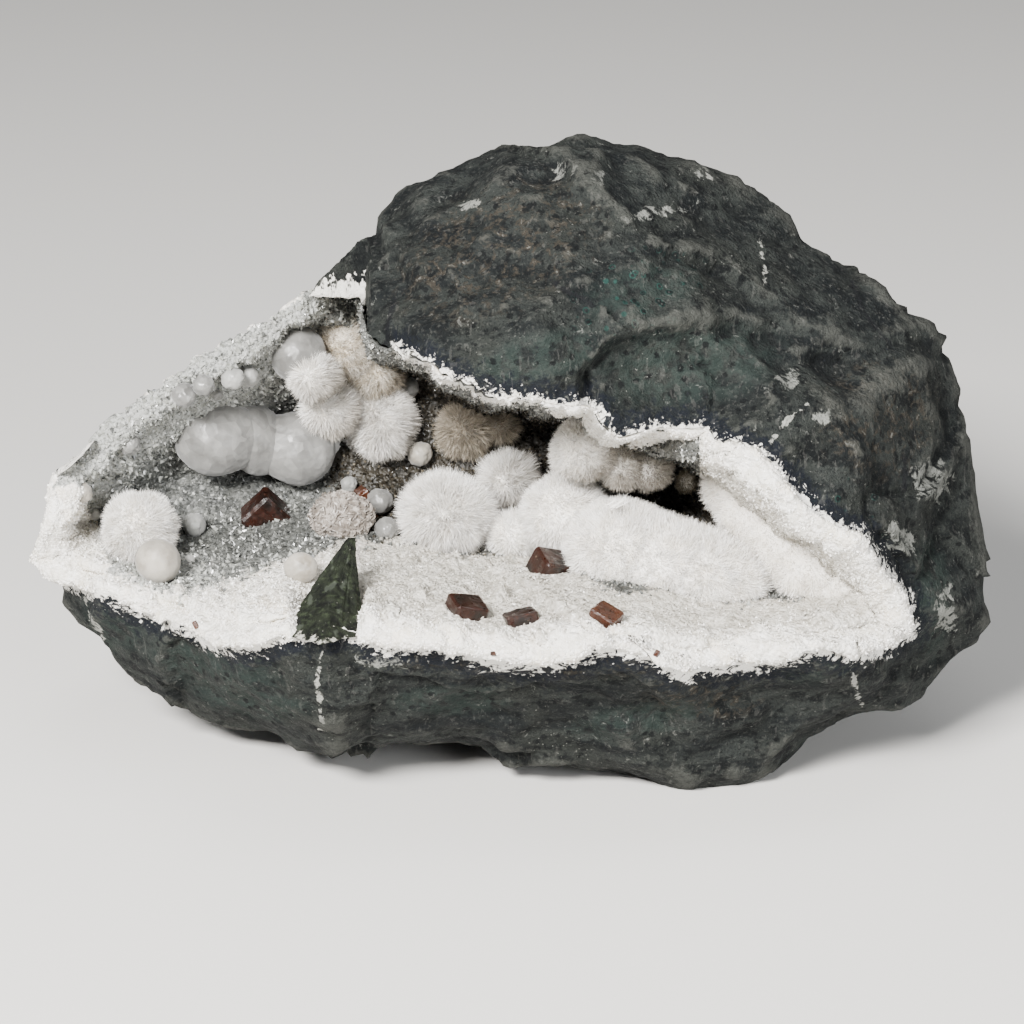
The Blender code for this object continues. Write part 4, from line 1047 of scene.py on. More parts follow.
def as_arrays(obj):
    """An object's own points (in millimetres) and triangles, as arrays."""
    mesh = obj.data
    mesh.calc_loop_triangles()
    co = np.empty(len(mesh.vertices) * 3, np.float32)
    mesh.vertices.foreach_get("co", co)
    tri = np.empty(len(mesh.loop_triangles) * 3, np.int32)
    mesh.loop_triangles.foreach_get("vertices", tri)
    return co.reshape(-1, 3).astype(float), tri.reshape(-1, 3)


def only_largest(p, tri):
    """The mesh's biggest connected part."""
    label = np.arange(len(p))
    while True:
        low = np.minimum.reduce([label[tri[:, 0]], label[tri[:, 1]], label[tri[:, 2]]])
        new = label.copy()
        for k in range(3):
            np.minimum.at(new, tri[:, k], low)
        new = new[new]
        if (new == label).all():
            break
        label = new
    counts = np.bincount(label[tri[:, 0]])
    tri = tri[label[tri[:, 0]] == counts.argmax()]
    used = np.unique(tri)
    back = np.full(len(p), -1)
    back[used] = np.arange(len(used))
    return p[used], back[tri]


def normals_of(p, tri):
    n = np.cross(p[tri[:, 1]] - p[tri[:, 0]], p[tri[:, 2]] - p[tri[:, 0]])
    out = np.zeros_like(p)
    for k in range(3):
        np.add.at(out, tri[:, k], n)
    return out / (np.linalg.norm(out, axis=1)[:, None] + 1e-12)


def crests(p, tri, n, rounds=2):
    """Above 0 on ridges and below 0 in hollows."""
    total, count = np.zeros_like(p), np.zeros(len(p))
    for a, b in ((0, 1), (1, 2), (2, 0)):
        for x, y in ((a, b), (b, a)):
            np.add.at(total, tri[:, x], p[tri[:, y]])
            np.add.at(count, tri[:, x], 1.0)
    bend = ((p - total / np.maximum(count, 1.0)[:, None]) * n).sum(1)
    for _ in range(rounds):
        more, seen = bend.copy(), np.ones(len(p))
        for a, b in ((0, 1), (1, 2), (2, 0)):
            for x, y in ((a, b), (b, a)):
                np.add.at(more, tri[:, x], bend[tri[:, y]])
                np.add.at(seen, tri[:, x], 1.0)
        bend = more / seen
    return np.clip(bend / 0.10, -1.0, 1.0)


def bare_edge(u, w):
    """Where the rock's edge carries no white crust."""
    return step(-29.6, -28.4, u) * step(-21.6, -23.2, u) * step(71.0, 73.5, w) * step(96.0, 92.0, w)


def patches(p, n):
    """The rock's marks as vertex values."""
    u, w, t = drawing(p)
    far = to_rim(u, w)
    angle = np.arctan2(w - RIM_MIDDLE[1], u - RIM_MIDDLE[0])
    edge = np.interp(angle, HOLLOW.table[0], HOLLOW.table[1], period=2 * math.pi)
    deg = np.degrees(angle)
    at_front = step(16.0, 6.0, np.abs(t - edge) - np.maximum(far, 0.0) * 0.8)
    fringe = np.where((far > -2.5) & (far < 9.0), at_front, 0.0)
    fringe = fringe * (1.0 - np.maximum(bare_edge(u, w), step(-27.0, -28.0, u) * step(70.0, 73.0, w)))
    front = step(0.0, -12.0, t)
    slab = step(-26.6, -27.6, u) * step(-30.0, -26.5, t) * step(-12.0, -16.0, t) * step(88.5, 82.5, w - 0.15 * (u + 40.0)) * step(70.0, 73.0, w)
    green = ovals(u, w, [
        (540, 358, 74, 24, 14), (690, 365, 92, 40, 8), (640, 292, 60, 26, 16), (118, 612, 34, 40, 0),
        (300, 330, 14, 24, 0), (640, 720, 70, 16, 8), (450, 700, 60, 14, 0), (820, 640, 50, 40, 30), (215, 665, 70, 24, -14), (250, 700, 60, 18, -10),
        (62, 496, 14, 30, 0), (930, 600, 20, 60, 0),
    ]) * front
    white = ovals(u, w, [
        (655, 213, 38, 6, 10), (565, 170, 16, 9, 30), (600, 178, 12, 7, 10), (788, 380, 14, 12, 40),
        (823, 417, 14, 8, 20), (932, 480, 22, 24, 60), (946, 610, 12, 30, 0), (900, 540, 16, 20, 60),
        (470, 205, 12, 6, 20), (700, 170, 14, 5, 60), (420, 168, 10, 6, 20), (740, 640, 26, 10, 0),
        (380, 660, 26, 8, 0), (470, 655, 30, 7, 0),
    ]) * front
    veins = near_line(u, w, [(807, 403), (783, 425), (765, 450)])
    for line in (
        [(760, 240), (764, 265), (765, 290)], [(700, 160), (712, 180)], [(325, 637), (318, 680), (322, 730)],
        [(85, 600), (92, 620), (105, 640)], [(850, 660), (856, 690), (862, 706)],
    ):
        veins = np.minimum(veins, near_line(u, w, line))
    veins = step(0.85, 0.0, veins + 0.35 * fbm(p, 2.5, 44, 3)) * front
    cracks = near_line(u, w, [(850, 280), (865, 315), (890, 345)])
    for line in (
        [(385, 345), (389, 320), (395, 300)], [(550, 280), (575, 296), (600, 310)], [(905, 452), (905, 490)],
        [(352, 230), (330, 262), (306, 291)],
    ):
        cracks = np.minimum(cracks, near_line(u, w, line))
    cracks = step(1.3, 0.0, cracks) * front
    teal = ovals(u, w, [(640, 295, 70, 42, 20), (840, 520, 50, 40, 0)]) * front
    brown = ovals(u, w, [(500, 250, 110, 60, 25), (880, 420, 60, 60, 0), (560, 660, 150, 18, 0), (700, 700, 60, 20, 0)])
    return {
        "rim": np.clip(far, -3.0, 14.0) + 0.8 * step(8.0, 16.0, deg) * step(130.0, 118.0, deg), "fringe": fringe, "green": green, "white": white,
        "slab": slab, "veins": veins, "cracks": cracks, "teal": teal, "brown": brown,
    }


def rock_material():
    m = Nodes("basalt", Roughness=0.86, Specular_IOR_Level=0.14)
    fine = m.noise(1500, 4, 0.65)
    mid = m.noise(330, 4, 0.6)
    speckled = m.noise(520, 4, 0.72, 0.5)
    wide = m.noise(80, 3, 0.55, 0.4)
    slant = m.noise(150, 3, 0.6, 0.0, ((0.0, 0.40, 0.0), (0.35, 1.0, 1.9)))
    base = m.mix(m.range(slant, 0.40, 0.60), rgb("101314"), rgb("282b29"))
    base = m.mix(m.range(wide, 0.42, 0.66, 0.0, 0.7), base, rgb("242623"))
    base = m.mix(m.range(mid, 0.53, 0.62, 0.0, 0.85), base, rgb("0c0e0f"))
    base = m.mix(m.range(fine, 0.53, 0.68, 0.0, 0.55), base, rgb("3d3e3b"))
    base = m.mix(m.range(m.noise(2600, 1, 0.5), 0.56, 0.68, 0.0, 0.7), base, rgb("101213"))
    base = m.mix(m.math("MULTIPLY", m.range(speckled, 0.5, 0.62), m.attribute("brown")), base, rgb("302c26"))
    green = m.math("MULTIPLY", m.attribute("green"), m.range(mid, 0.38, 0.56))
    base = m.mix(m.math("MULTIPLY", green, 0.5), base, rgb("2c3632"))
    # teal rings round pale specks
    cell = m.voronoi(420)
    ring = m.math("MULTIPLY", m.range(cell, 0.14, 0.19), m.range(cell, 0.30, 0.24))
    base = m.mix(m.math("MULTIPLY", ring, m.math("MULTIPLY", m.attribute("teal"), 0.6)), base, rgb("1d403a"))
    base = m.mix(m.math("MULTIPLY", m.range(cell, 0.09, 0.05), m.attribute("teal")), base, rgb("8d948e"))
    # pocks
    pock = m.range(m.math("ADD", cell, m.range(fine, 0.3, 0.7, -0.12, 0.12, False)), 0.30, 0.20, 0.0, 0.85)
    pock = m.math("MULTIPLY", pock, m.range(wide, 0.36, 0.50))
    base = m.mix(pock, base, rgb("0a0c0d"))
    # pale crystals scattered through it
    spots = m.voronoi(760)
    speck = m.math("MULTIPLY", m.range(spots, 0.13, 0.08, 0.0, 0.6), m.range(wide, 0.52, 0.64))
    base = m.mix(speck, base, rgb("7d7d77"))
    white = m.math("ADD", m.attribute("white"), m.range(speckled, 0.32, 0.68, -1.5, 0.3, False))
    base = m.mix(m.range(white, 0.05, 0.60, 0.0, 0.7), base, rgb("8b8c86"))
    veins = m.math("ADD", m.attribute("veins"), m.range(speckled, 0.3, 0.7, -0.95, 0.25, False))
    base = m.mix(m.range(veins, 0.30, 0.55, 0.0, 0.9), base, rgb("96968f"))
    cracks = m.math("ADD", m.attribute("cracks"), m.range(speckled, 0.3, 0.7, -0.4, 0.3, False))
    base = m.mix(m.range(cracks, 0.5, 0.8, 0.0, 0.85), base, rgb("141517"))
    # ridges lighter, as edge wear with a painted highlight; hollows darker, as painted shade
    crest = m.attribute("crest")
    wear_and_shade = m.math("ADD", crest, m.range(speckled, 0.3, 0.7, -0.5, 0.4, False))
    base = m.mix(m.range(wear_and_shade, 0.30, 1.05, 0.0, 0.7), base, rgb("42433f"))
    base = m.mix(m.range(wear_and_shade, -0.25, -1.0, 0.0, 0.7), base, rgb("0c0e0f"))
    # pits
    pits = m.math("MULTIPLY", m.range(cell, 0.13, 0.07), m.range(wide, 0.52, 0.44))
    base = m.mix(m.math("MULTIPLY", pits, 0.9), base, rgb("15171a"))
    # the navy speckled fringe and the branching white edge
    rim = m.attribute("rim")
    fringe = m.attribute("fringe")
    wander = m.math("ADD", m.range(speckled, 0.3, 0.7, -2.0, 2.0, False), m.range(fine, 0.3, 0.7, -0.8, 0.8, False))
    dark = m.math("ADD", rim, m.math("MULTIPLY", wander, 1.3))
    dark = m.math("MULTIPLY", m.range(dark, 5.2, 3.0), m.range(fine, 0.34, 0.52, 0.45, 1.0))
    base = m.mix(m.math("MULTIPLY", dark, fringe), base, rgb("12151b"))
    edge = m.math("ADD", rim, wander)
    edge = m.math("MULTIPLY", m.range(edge, 1.9, 1.0), m.range(fringe, 0.1, 0.5))
    base = m.mix(edge, base, rgb("e9e6df"))
    # white specks further out
    out = m.math("ADD", rim, m.range(mid, 0.3, 0.7, -3.5, 3.5, False))
    out = m.math("MULTIPLY", m.range(out, 1.4, 0.6), m.range(spots, 0.26, 0.16))
    base = m.mix(m.math("MULTIPLY", out, fringe), base, rgb("dcdad4"))
    # white crust with dark needles on the slab
    needles = m.noise(900, 2, 0.6, 0.0, ((0.0, 0.15, 0.0), (1.0, 1.0, 0.22)))
    needles = m.math("ADD", m.attribute("slab"), m.range(needles, 0.36, 0.64, -0.42, 0.42, False))
    base = m.mix(m.range(needles, 0.40, 0.62), base, rgb("dedbd3"))
    m.set("Base Color", base)
    rough = m.range(mid, 0.3, 0.7, 0.72, 0.98, False)
    m.set("Roughness", rough)
    height = m.math("ADD", m.math("MULTIPLY", mid, 0.8), m.math("MULTIPLY", fine, 0.42))
    m.bump(height, 1.0, 1.5)
    return m.mat


def make_rock():
    obj = build_rock()
    cut(obj, hollow_cutter())
    cut(obj, box_of(left_break, 40, 1.1, 60))
    cut(obj, undercut())
    low = box_of(lambda c: c * np.array([150.0, 150.0, 25.0]) + np.array([0.0, 0.0, -25.0]), 1, 0.0, 0)
    cut(obj, low)
    p, tri = as_arrays(obj)
    bpy.data.objects.remove(obj, do_unlink=True)
    p, tri = only_largest(p, tri)
    p[:, 2] = np.maximum(p[:, 2], 0.0)
    n = normals_of(p, tri)
    marks = patches(p, n)
    marks["crest"] = crests(p, tri, n)
    rock = mesh_object("basalt_matrix_look", p, tri, True, [rock_material()], marks)
    flat = (np.abs(p[tri][:, :, 2]).max(1) < 0.02)
    smooth = ~flat
    rock.data.polygons.foreach_set("use_smooth", smooth)
    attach(rock, "root")
    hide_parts("basalt_matrix")
    return rock, p, tri, n


print("rock")
ROCK, ROCK_P, ROCK_TRI, ROCK_N = make_rock()
print("rock faces", len(ROCK_TRI))


# ------------------------------------------------------------- drusy crust
WHITE_LINE = [
    (0, 480), (40, 500), (75, 480), (95, 520), (110, 575), (180, 596), (250, 578), (300, 562), (345, 545),
    (390, 540), (440, 552), (520, 556), (560, 574), (620, 590), (760, 602), (800, 604), (870, 560), (960, 480),
]
CAUL = [(215, 600, 9), (180, 592, 8), (150, 602, 8), (240, 606, 7), (120, 612, 7), (330, 560, 6), (270, 590, 7),
        (420, 596, 8), (460, 592, 6), (390, 616, 8), (500, 600, 7), (560, 612, 7), (640, 640, 9), (700, 640, 8),
        (760, 632, 9), (820, 622, 9), (850, 648, 8), (200, 622, 7), (160, 620, 6), (440, 640, 7), (540, 640, 6),
        (600, 640, 7), (735, 652, 7), (795, 650, 8), (310, 590, 6), (100, 590, 6), (410, 566, 7), (455, 566, 7)]


def crust_zones(p):
    """How snowy, how deep in the cave, where shade is painted into the colour, and how near the roof each point is."""
    u, w, t = drawing(p)
    line = np.interp(u, [px(*q)[0] for q in WHITE_LINE], [px(*q)[1] for q in WHITE_LINE])
    snow = step(2.6, -2.2, w - line + 1.3 * fbm(p, 7.0, 12, 3))
    far = to_rim(u, w)
    high = step(36.0, 46.0, w)
    reach_in = np.where((u > 36) & (w > 22), 9.0, 2.9 - 1.9 * high + 1.6 * high * step(6.0, 9.0, u) * step(37.0, 34.0, u))
    wide = np.where(high > 0.5, 0.7, 1.0)
    reach_in = reach_in - 1.6 * step(-30.0, -36.0, u) * step(50.0, 56.0, w)
    snow = np.maximum(snow, step(-reach_in - wide, -reach_in + wide, far - 0.5 * high + 0.8 * fbm(p, 4.0, 13, 2)))
    snow = snow * (1.0 - bare_edge(u, w) * step(-31.0, -28.5, u))
    # painted shade: soft ovals over the deep cave, where the crust is coloured dark
    deep = ovals(u, w, [(540, 470, 190, 90, 12), (450, 400, 90, 50, 20), (690, 500, 110, 55, 38), (400, 470, 70, 60, 0)])
    deep = deep * (1.0 - snow) * step(-24.0, -6.0, t)
    left = step(-26.0, -40.0, u) * step(-16.0, -6.0, far)
    return snow, deep, left, far


CRUST_ROWS = []
CREVICE_SHADE = None


def crust_surface(count=430, inner=66):
    shares = np.sin(np.linspace(0.0, 1.0, inner) * math.pi / 2)
    shares[0] = 0.004
    fine, radii, t = fine_shell(CRUST_FRONT, count, shares)
    ring = np.stack([60.0 * np.cos(fine), 60.0 * np.sin(fine), 0.0 * fine], -1)
    deg = np.degrees(fine)
    roof = step(4.0, 12.0, deg) * step(178.0, 168.0, deg)
    slim = 1.1 * step(8.0, 18.0, deg) * step(128.0, 118.0, deg)
    radii = radii + (slim + 0.8 * fbm(ring, 5.5, 81, 3) + 0.4 * fbm(ring, 1.6, 82, 2)) * shares[:, None] ** 8
    front = polar_points(fine, radii, t)
    _, radii_back, t_back = fine_shell(CRUST_BACK, count, shares)
    back = polar_points(fine, radii_back, t_back)
    # the rounded lip, from the inner rim over the rock's edge and back in
    edge = np.interp(fine, HOLLOW.table[0], HOLLOW.table[1], period=2 * math.pi)
    lip = []
    a_r, a_t = radii[-1], t[-1]
    b_r, b_t = radii_back[-1], np.minimum(edge, t_back[-1])
    over = np.maximum(0.45, 0.75 - 0.1 * roof + (1.1 - 0.5 * roof) * fbm(np.stack([60 * np.cos(fine), 60 * np.sin(fine), 0 * fine], -1), 3.1, 71, 4, 0.7))
    bare = bare_edge(RIM_MIDDLE[0] + b_r * np.cos(fine), RIM_MIDDLE[1] + b_r * np.sin(fine))
    rim_u, rim_w = RIM_MIDDLE[0] + b_r * np.cos(fine), RIM_MIDDLE[1] + b_r * np.sin(fine)
    bare = np.maximum(bare, step(-39.0, -37.5, rim_u) * step(-29.0, -30.5, rim_u) * step(30.0, 26.0, rim_w))
    thin = step(24.0, 26.0, rim_u) * step(37.0, 35.0, rim_u) * step(50.0, 54.0, rim_w)
    c_r = radii_back[-1] + JOINT + (over + 1.6 * thin) * (1 - bare) + 0.1 * bare  # spreads over the rock's edge
    c_t = np.minimum(edge, a_t) - 0.25 + 0.3 * bare - 0.7 * thin
    for k in np.linspace(0.1, 1.0, 10):
        r = a_r + (c_r - a_r) * k
        tt = a_t + (c_t - a_t) * k
        arch = math.sin(k**1.5 * math.pi) ** 0.8
        lip.append(polar_points(fine, r[None], (tt - (0.75 - 0.35 * roof) * (1 - 0.8 * bare) * arch)[None])[0])
    lip.append(polar_points(fine, (c_r - 0.3)[None], (c_t + 1.6)[None])[0])
    lip.append(polar_points(fine, (radii_back[-1] - 0.1)[None], np.maximum(c_t + 2.4, b_t)[None])[0])
    rows = [front[i] for i in range(len(front))] + lip
    picks = np.linspace(inner - 1, 0, 12).astype(int)
    rows += [back[i] for i in picks]
    p = np.array(rows)
    n_rows = len(rows)
    faces = ring_faces(n_rows, count)
    points = p.reshape(-1, 3)
    points = np.concatenate([points, p[0].mean(0)[None], p[-1].mean(0)[None]])
    a, b = np.arange(count), (np.arange(count) + 1) % count
    CRUST_ROWS[:] = [n_rows, count, inner + 10]
    caps = np.concatenate([
        np.stack([b, a, np.full(count, len(points) - 2)], -1),
        np.stack([a, b, np.full(count, -1)], -1) + np.array([(n_rows - 1) * count, (n_rows - 1) * count, len(points)]),
    ])
    tris = np.concatenate([faces[:, [0, 1, 2]], faces[:, [0, 2, 3]], caps])
    solid = np.arange(n_rows) < inner + 10
    loose = np.concatenate([np.repeat(solid, count), [True, False]])
    return points, tris, loose


def bumpy(points, tris, loose):
    """Cauliflower heads, grape-like balls and sugar on the crust's face."""
    n = normals_of(points, tris)
    _, _, t = drawing(points)
    middle = world(np.float64(RIM_MIDDLE[0]), np.float64(RIM_MIDDLE[1]), np.float64(-40.0))
    face = ((points - middle) * n).sum(1)
    if np.median(face[loose]) > 0:
        tris = tris[:, ::-1]
        n = -n
    snow, deep, left, far = crust_zones(points)
    u, w, _ = drawing(points)
    first, second, mark = cells(points, 4.6, 5)
    heads = np.clip(0.85 - first, 0.0, 1.0)
    first2, _, mark2 = cells(points, 1.9, 15)
    small = np.clip(0.8 - first2, 0.0, 1.0)
    first3, _, _ = cells(points, 1.05, 25)
    grains = np.clip(0.8 - first3, 0.0, 1.0)
    rise = snow * (1.5 * heads * (0.6 + 0.6 * mark) + 0.75 * small) + (1 - snow) * (0.5 * small * (1 + mark2) + 0.25 * heads)
    rise = rise + 0.34 * grains
    for x, y, r in CAUL:
        cu, cw = px(x, y)
        d = np.hypot(u - cu, w - cw) / (r * 0.188)
        rise = rise + 1.5 * np.clip(1.0 - d * d, 0.0, 1.0) ** 0.5 * (t < 4) * (0.75 + 0.5 * small)
    su, sw = px(328, 608)
    clear = step(0.55, 1.1, np.sqrt(((u - su) / 7.2) ** 2 + ((w - sw) / 9.5) ** 2))
    rise = rise * clear * step(1.6, -0.6, far) + 0.42 * small + 0.12 * heads * step(-2.0, 0.0, far)
    rise = rise - 2.0 * (1.0 - clear)
    # painted shade: low in the crevices between heads and grains, where the crust's white is darkened
    global CREVICE_SHADE
    CREVICE_SHADE = np.clip(1.3 * small + 0.7 * heads + 0.5 * grains, 0.0, 1.0)
    rise = rise + 0.5 * fbm(points, 6.0, 33, 3)
    points = points + n * (rise * loose)[:, None]
    # makes way for the spur, whose foot stands in front of the crust's edge
    u, w, t = drawing(points)
    points = world(u, w, t + 5.0 * (1.0 - clear) * step(-40.0, -46.0, t))
    return points, tris, snow, deep, left


def crust_material(kind="crust"):
    m = Nodes(kind, Roughness=0.42, IOR=1.54, Specular_IOR_Level=0.5)
    snow, deep, left = (m.attribute(k) for k in ("snow", "deep", "left"))
    fine = m.noise(1700, 4, 0.65)
    mid = m.noise(420, 4, 0.6)
    wall = m.mix(m.range(mid, 0.36, 0.66), rgb("343533"), rgb("62635f"))
    wall = m.mix(m.math("MULTIPLY", left, m.range(fine, 0.30, 0.55)), wall, rgb("9a9b97"))
    # painted shade: the dark brown of the deep cave
    dark = m.mix(m.range(mid, 0.40, 0.62), rgb("332e25"), rgb("1b1812"))
    dark = m.mix(m.range(fine, 0.50, 0.70, 0.0, 0.6), dark, rgb("453f34"))
    base = m.mix(m.math("MULTIPLY", m.range(deep, 0.05, 0.55), 0.92), wall, dark)
    white = m.mix(m.range(mid, 0.36, 0.64), rgb("eeebe5"), rgb("d6d1c6"))
    white = m.mix(m.range(m.noise(160, 3, 0.5), 0.50, 0.68, 0.0, 0.6), white, rgb("e3d9c6"))
    inner = m.mix(m.range(mid, 0.36, 0.64), rgb("c9c5bc"), rgb("a29d92"))
    white = m.mix(m.math("MULTIPLY", m.attribute("within"), 0.85), white, inner)
    # painted shade: the white darkens in the crevices between heads and grains
    white = m.mix(m.range(m.attribute("grain"), 0.42, 0.06, 0.0, 0.6), white, rgb("a59f92"))
    cover = m.math("ADD", snow, m.range(mid, 0.3, 0.7, -0.35, 0.35, False))
    base = m.mix(m.range(cover, 0.30, 0.62), base, white)
    m.set("Base Color", base)
    m.set("Roughness", m.range(fine, 0.35, 0.7, 0.22, 0.75, False))
    grit = m.voronoi(1250)
    height = m.math("SUBTRACT", m.math("MULTIPLY", fine, 0.4), m.math("MULTIPLY", grit, 0.8))
    m.bump(height, 0.9, 0.55)
    return m.mat


def inner_floor(p):
    """Where the white crust turns greyer, away from the rim."""
    u, w, _ = drawing(p)
    far = to_rim(u, w) + 1.6 * fbm(p, 6.0, 14, 3)
    right = step(-46.0, -30.0, u) * step(30.0, 10.0, np.abs(u - 10.0) - 50.0)
    return step(-2.6, -7.5, far) * (0.25 + 0.75 * right)


def make_crust():
    points, tris, loose = crust_surface()
    points, tris, snow, deep, left = bumpy(points, tris, loose)
    behind = (~loose)[tris].all(1).astype(int)
    under = Nodes("crust_underside", Roughness=0.9)
    under.set("Base Color", under.mix(under.range(under.noise(420, 4, 0.65), 0.4, 0.62), rgb("17191a"), rgb("4a4b47")))
    under.bump(under.noise(600, 4, 0.7), 0.9, 1.2)
    crust = mesh_object(
        "quartz_lining_look", points, tris, True, [crust_material(), under.mat], {"snow": snow, "deep": deep, "left": left, "within": inner_floor(points), "grain": CREVICE_SHADE}, behind
    )
    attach(crust, "root")
    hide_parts("quartz_lining")
    return points, tris, loose, snow, deep, left


def sample(points, tris, weight, count, seed):
    """Random spots on triangles: place, normal and face index."""
    rng = np.random.default_rng(seed)
    a, b, c = points[tris[:, 0]], points[tris[:, 1]], points[tris[:, 2]]
    n = np.cross(b - a, c - a)
    area = np.linalg.norm(n, axis=1)
    chance = area * weight
    pick = rng.choice(len(tris), size=count, p=chance / chance.sum())
    x, y = rng.random(count), rng.random(count)
    flip = x + y > 1
    x, y = np.where(flip, 1 - x, x), np.where(flip, 1 - y, y)
    spot = a[pick] + (b[pick] - a[pick]) * x[:, None] + (c[pick] - a[pick]) * y[:, None]
    return spot, n[pick] / (area[pick][:, None] + 1e-12), pick


def frames(n, rng):
    """Two directions across each normal, at a random turn."""
    ref = rng.normal(size=n.shape)
    x = np.cross(n, ref)
    x /= np.linalg.norm(x, axis=1)[:, None] + 1e-12
    return x, np.cross(n, x)


def points_of_quartz(spot, n, size, seed, tall=1.25):
    """Small six-sided pyramids, as points and triangles."""
    rng = np.random.default_rng(seed)
    k = len(spot)
    axis = n + 0.38 * rng.normal(size=(k, 3))
    axis /= np.linalg.norm(axis, axis=1)[:, None]
    x, y = frames(axis, rng)
    turn = np.arange(6) * math.pi / 3
    r = size[:, None] * (1.0 + 0.2 * rng.normal(size=(k, 6)))
    base = spot[:, None] + x[:, None] * (r * np.cos(turn))[..., None] + y[:, None] * (r * np.sin(turn))[..., None]
    base = base - axis[:, None] * (0.35 * size)[:, None, None]
    tip = spot + axis * (size * tall * rng.uniform(0.7, 1.4, k))[:, None]
    p = np.concatenate([base, tip[:, None]], 1).reshape(-1, 3)
    i = np.arange(6)
    one = np.stack([i, (i + 1) % 6, np.full(6, 6)], -1)
    tri = (np.arange(k)[:, None, None] * 7 + one[None]).reshape(-1, 3)
    return p, tri


def quartz_material(name, low, high, rough):
    m = Nodes(name, Roughness=rough, IOR=1.54)
    fine = m.noise(900, 3, 0.6)
    m.set("Base Color", m.mix(m.range(fine, 0.38, 0.62), rgb(low), rgb(high)))
    return m.mat


def druse(name, spot, n, size, seed, material, tall=1.25):
    p, tri = points_of_quartz(spot, n, size, seed, tall)
    obj = mesh_object(name, p, tri, False, [material])
    flat_map(obj, p)
    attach(obj, "root")
    return obj


def make_druse(points, tris, loose, snow, deep, left):
    facing = loose[tris].all(1)
    u, w, t = drawing(points[tris].mean(1))
    face_snow, face_cave_shade, face_left = snow[tris].mean(1), deep[tris].mean(1), left[tris].mean(1)
    seen = step(60, 0, t)
    rng = np.random.default_rng(3)
    white = quartz_material("snow_quartz", "f2f0ec", "dcd8d0", 0.35)
    sugar = quartz_material("sugar_quartz", "c6c2b9", "99948a", 0.3)
    grey = quartz_material("grey_quartz", "6c6d6a", "3f403e", 0.2)
    pale = quartz_material("pale_quartz", "aeafab", "85867f", 0.2)
    # painted shade: the crystals in the deep cave are dark; the few lighter glint crystals among them are painted
    # glints
    shade_quartz = quartz_material("painted_shade_quartz", "37322a", "1b1914", 0.2)
    glint = quartz_material("glint_quartz", "7d7566", "4d473c", 0.15)
    within = inner_floor(points[tris].mean(1))
    wall = facing * (1 - face_snow) * (1 - np.clip(face_cave_shade * 1.6, 0, 1))
    cave = facing * (1 - face_snow) * np.clip(face_cave_shade * 2.0, 0, 1)
    for name, weight, count, low, high, material in (
        ("druse_snow", facing * face_snow ** 2 * (1 - within), 17000, 0.11, 0.32, white),
        ("druse_floor", facing * face_snow ** 2 * within, 11000, 0.12, 0.34, sugar),
        ("druse_wall", wall * (1 - 0.8 * face_left), 8200, 0.20, 0.55, grey),
        ("druse_pale", wall * (0.14 + face_left), 4200, 0.22, 0.62, pale),
        ("druse_deep", cave, 6500, 0.20, 0.55, shade_quartz),
        ("druse_glint", cave, 900, 0.18, 0.42, glint),
    ):
        spot, n, pick = sample(points, tris, weight * seen, count, 11 + len(name))
        size = low + (high - low) * rng.random(count) ** 2
        druse(name, spot, n, size, 30 + len(name), material)


print("crust")
CRUST_POINTS, CRUST_TRIS, LOOSE, SNOW, CAVE_SHADE, LEFT = make_crust()
make_druse(CRUST_POINTS, CRUST_TRIS, LOOSE, SNOW, CAVE_SHADE, LEFT)
CRUST_TREE = BVHTree.FromPolygons([tuple(q) for q in CRUST_POINTS], [tuple(int(k) for k in f) for f in CRUST_TRIS])


# ------------------------------------------------------------------ the balls
def sphere_of(level):
    bm = bmesh.new()
    bmesh.ops.create_icosphere(bm, subdivisions=level, radius=1.0)
    n = np.array([v.co.normalized()[:] for v in bm.verts])
    f = np.array([[v.index for v in face.verts] for face in bm.faces])
    bm.free()
    return n, f


SPHERES = {level: sphere_of(level) for level in (3, 4, 5, 6)}


def lean(p):
    """Turns across, along and up over to the drawing's own directions."""
    return np.stack([p[:, 0], p[:, 1] * COS + p[:, 2] * SIN, -p[:, 1] * SIN + p[:, 2] * COS], -1)


class Lobe:
    def __init__(self, u, w, across, up=None, along=None, depth=None, sink=0.25):
        up = across if up is None else up
        along = up if along is None else along
        if depth is None:
            depth = seat(u, w, min(across, up, along), sink)
        self.u, self.w, self.t = u, w, depth
        grow = (EYE + depth) / EYE
        self.size = np.array([across, along, up]) * grow
        self.middle = world(np.float64(u), np.float64(w), np.float64(depth))

    def surface(self, level, seed, lumpy=0.05, swell=0.0):
        n, f = SPHERES[level]
        p = n * (self.size + swell)
        p = lean(p)
        out = lean(n / (self.size / self.size.max()))
        out /= np.linalg.norm(out, axis=1)[:, None]
        p = p + self.middle
        p = p + out * (lumpy * self.size.min() * fbm(p, self.size.min() * 0.8, seed, 3))[:, None]
        return p, f, out

    def holds(self, p, inset=0.0):
        """Which of the points lie inside this lobe."""
        q = p - self.middle
        q = np.stack([q[:, 0], q[:, 1] * COS - q[:, 2] * SIN, q[:, 1] * SIN + q[:, 2] * COS], -1)
        return ((q / (self.size - inset)) ** 2).sum(1) < 1.0


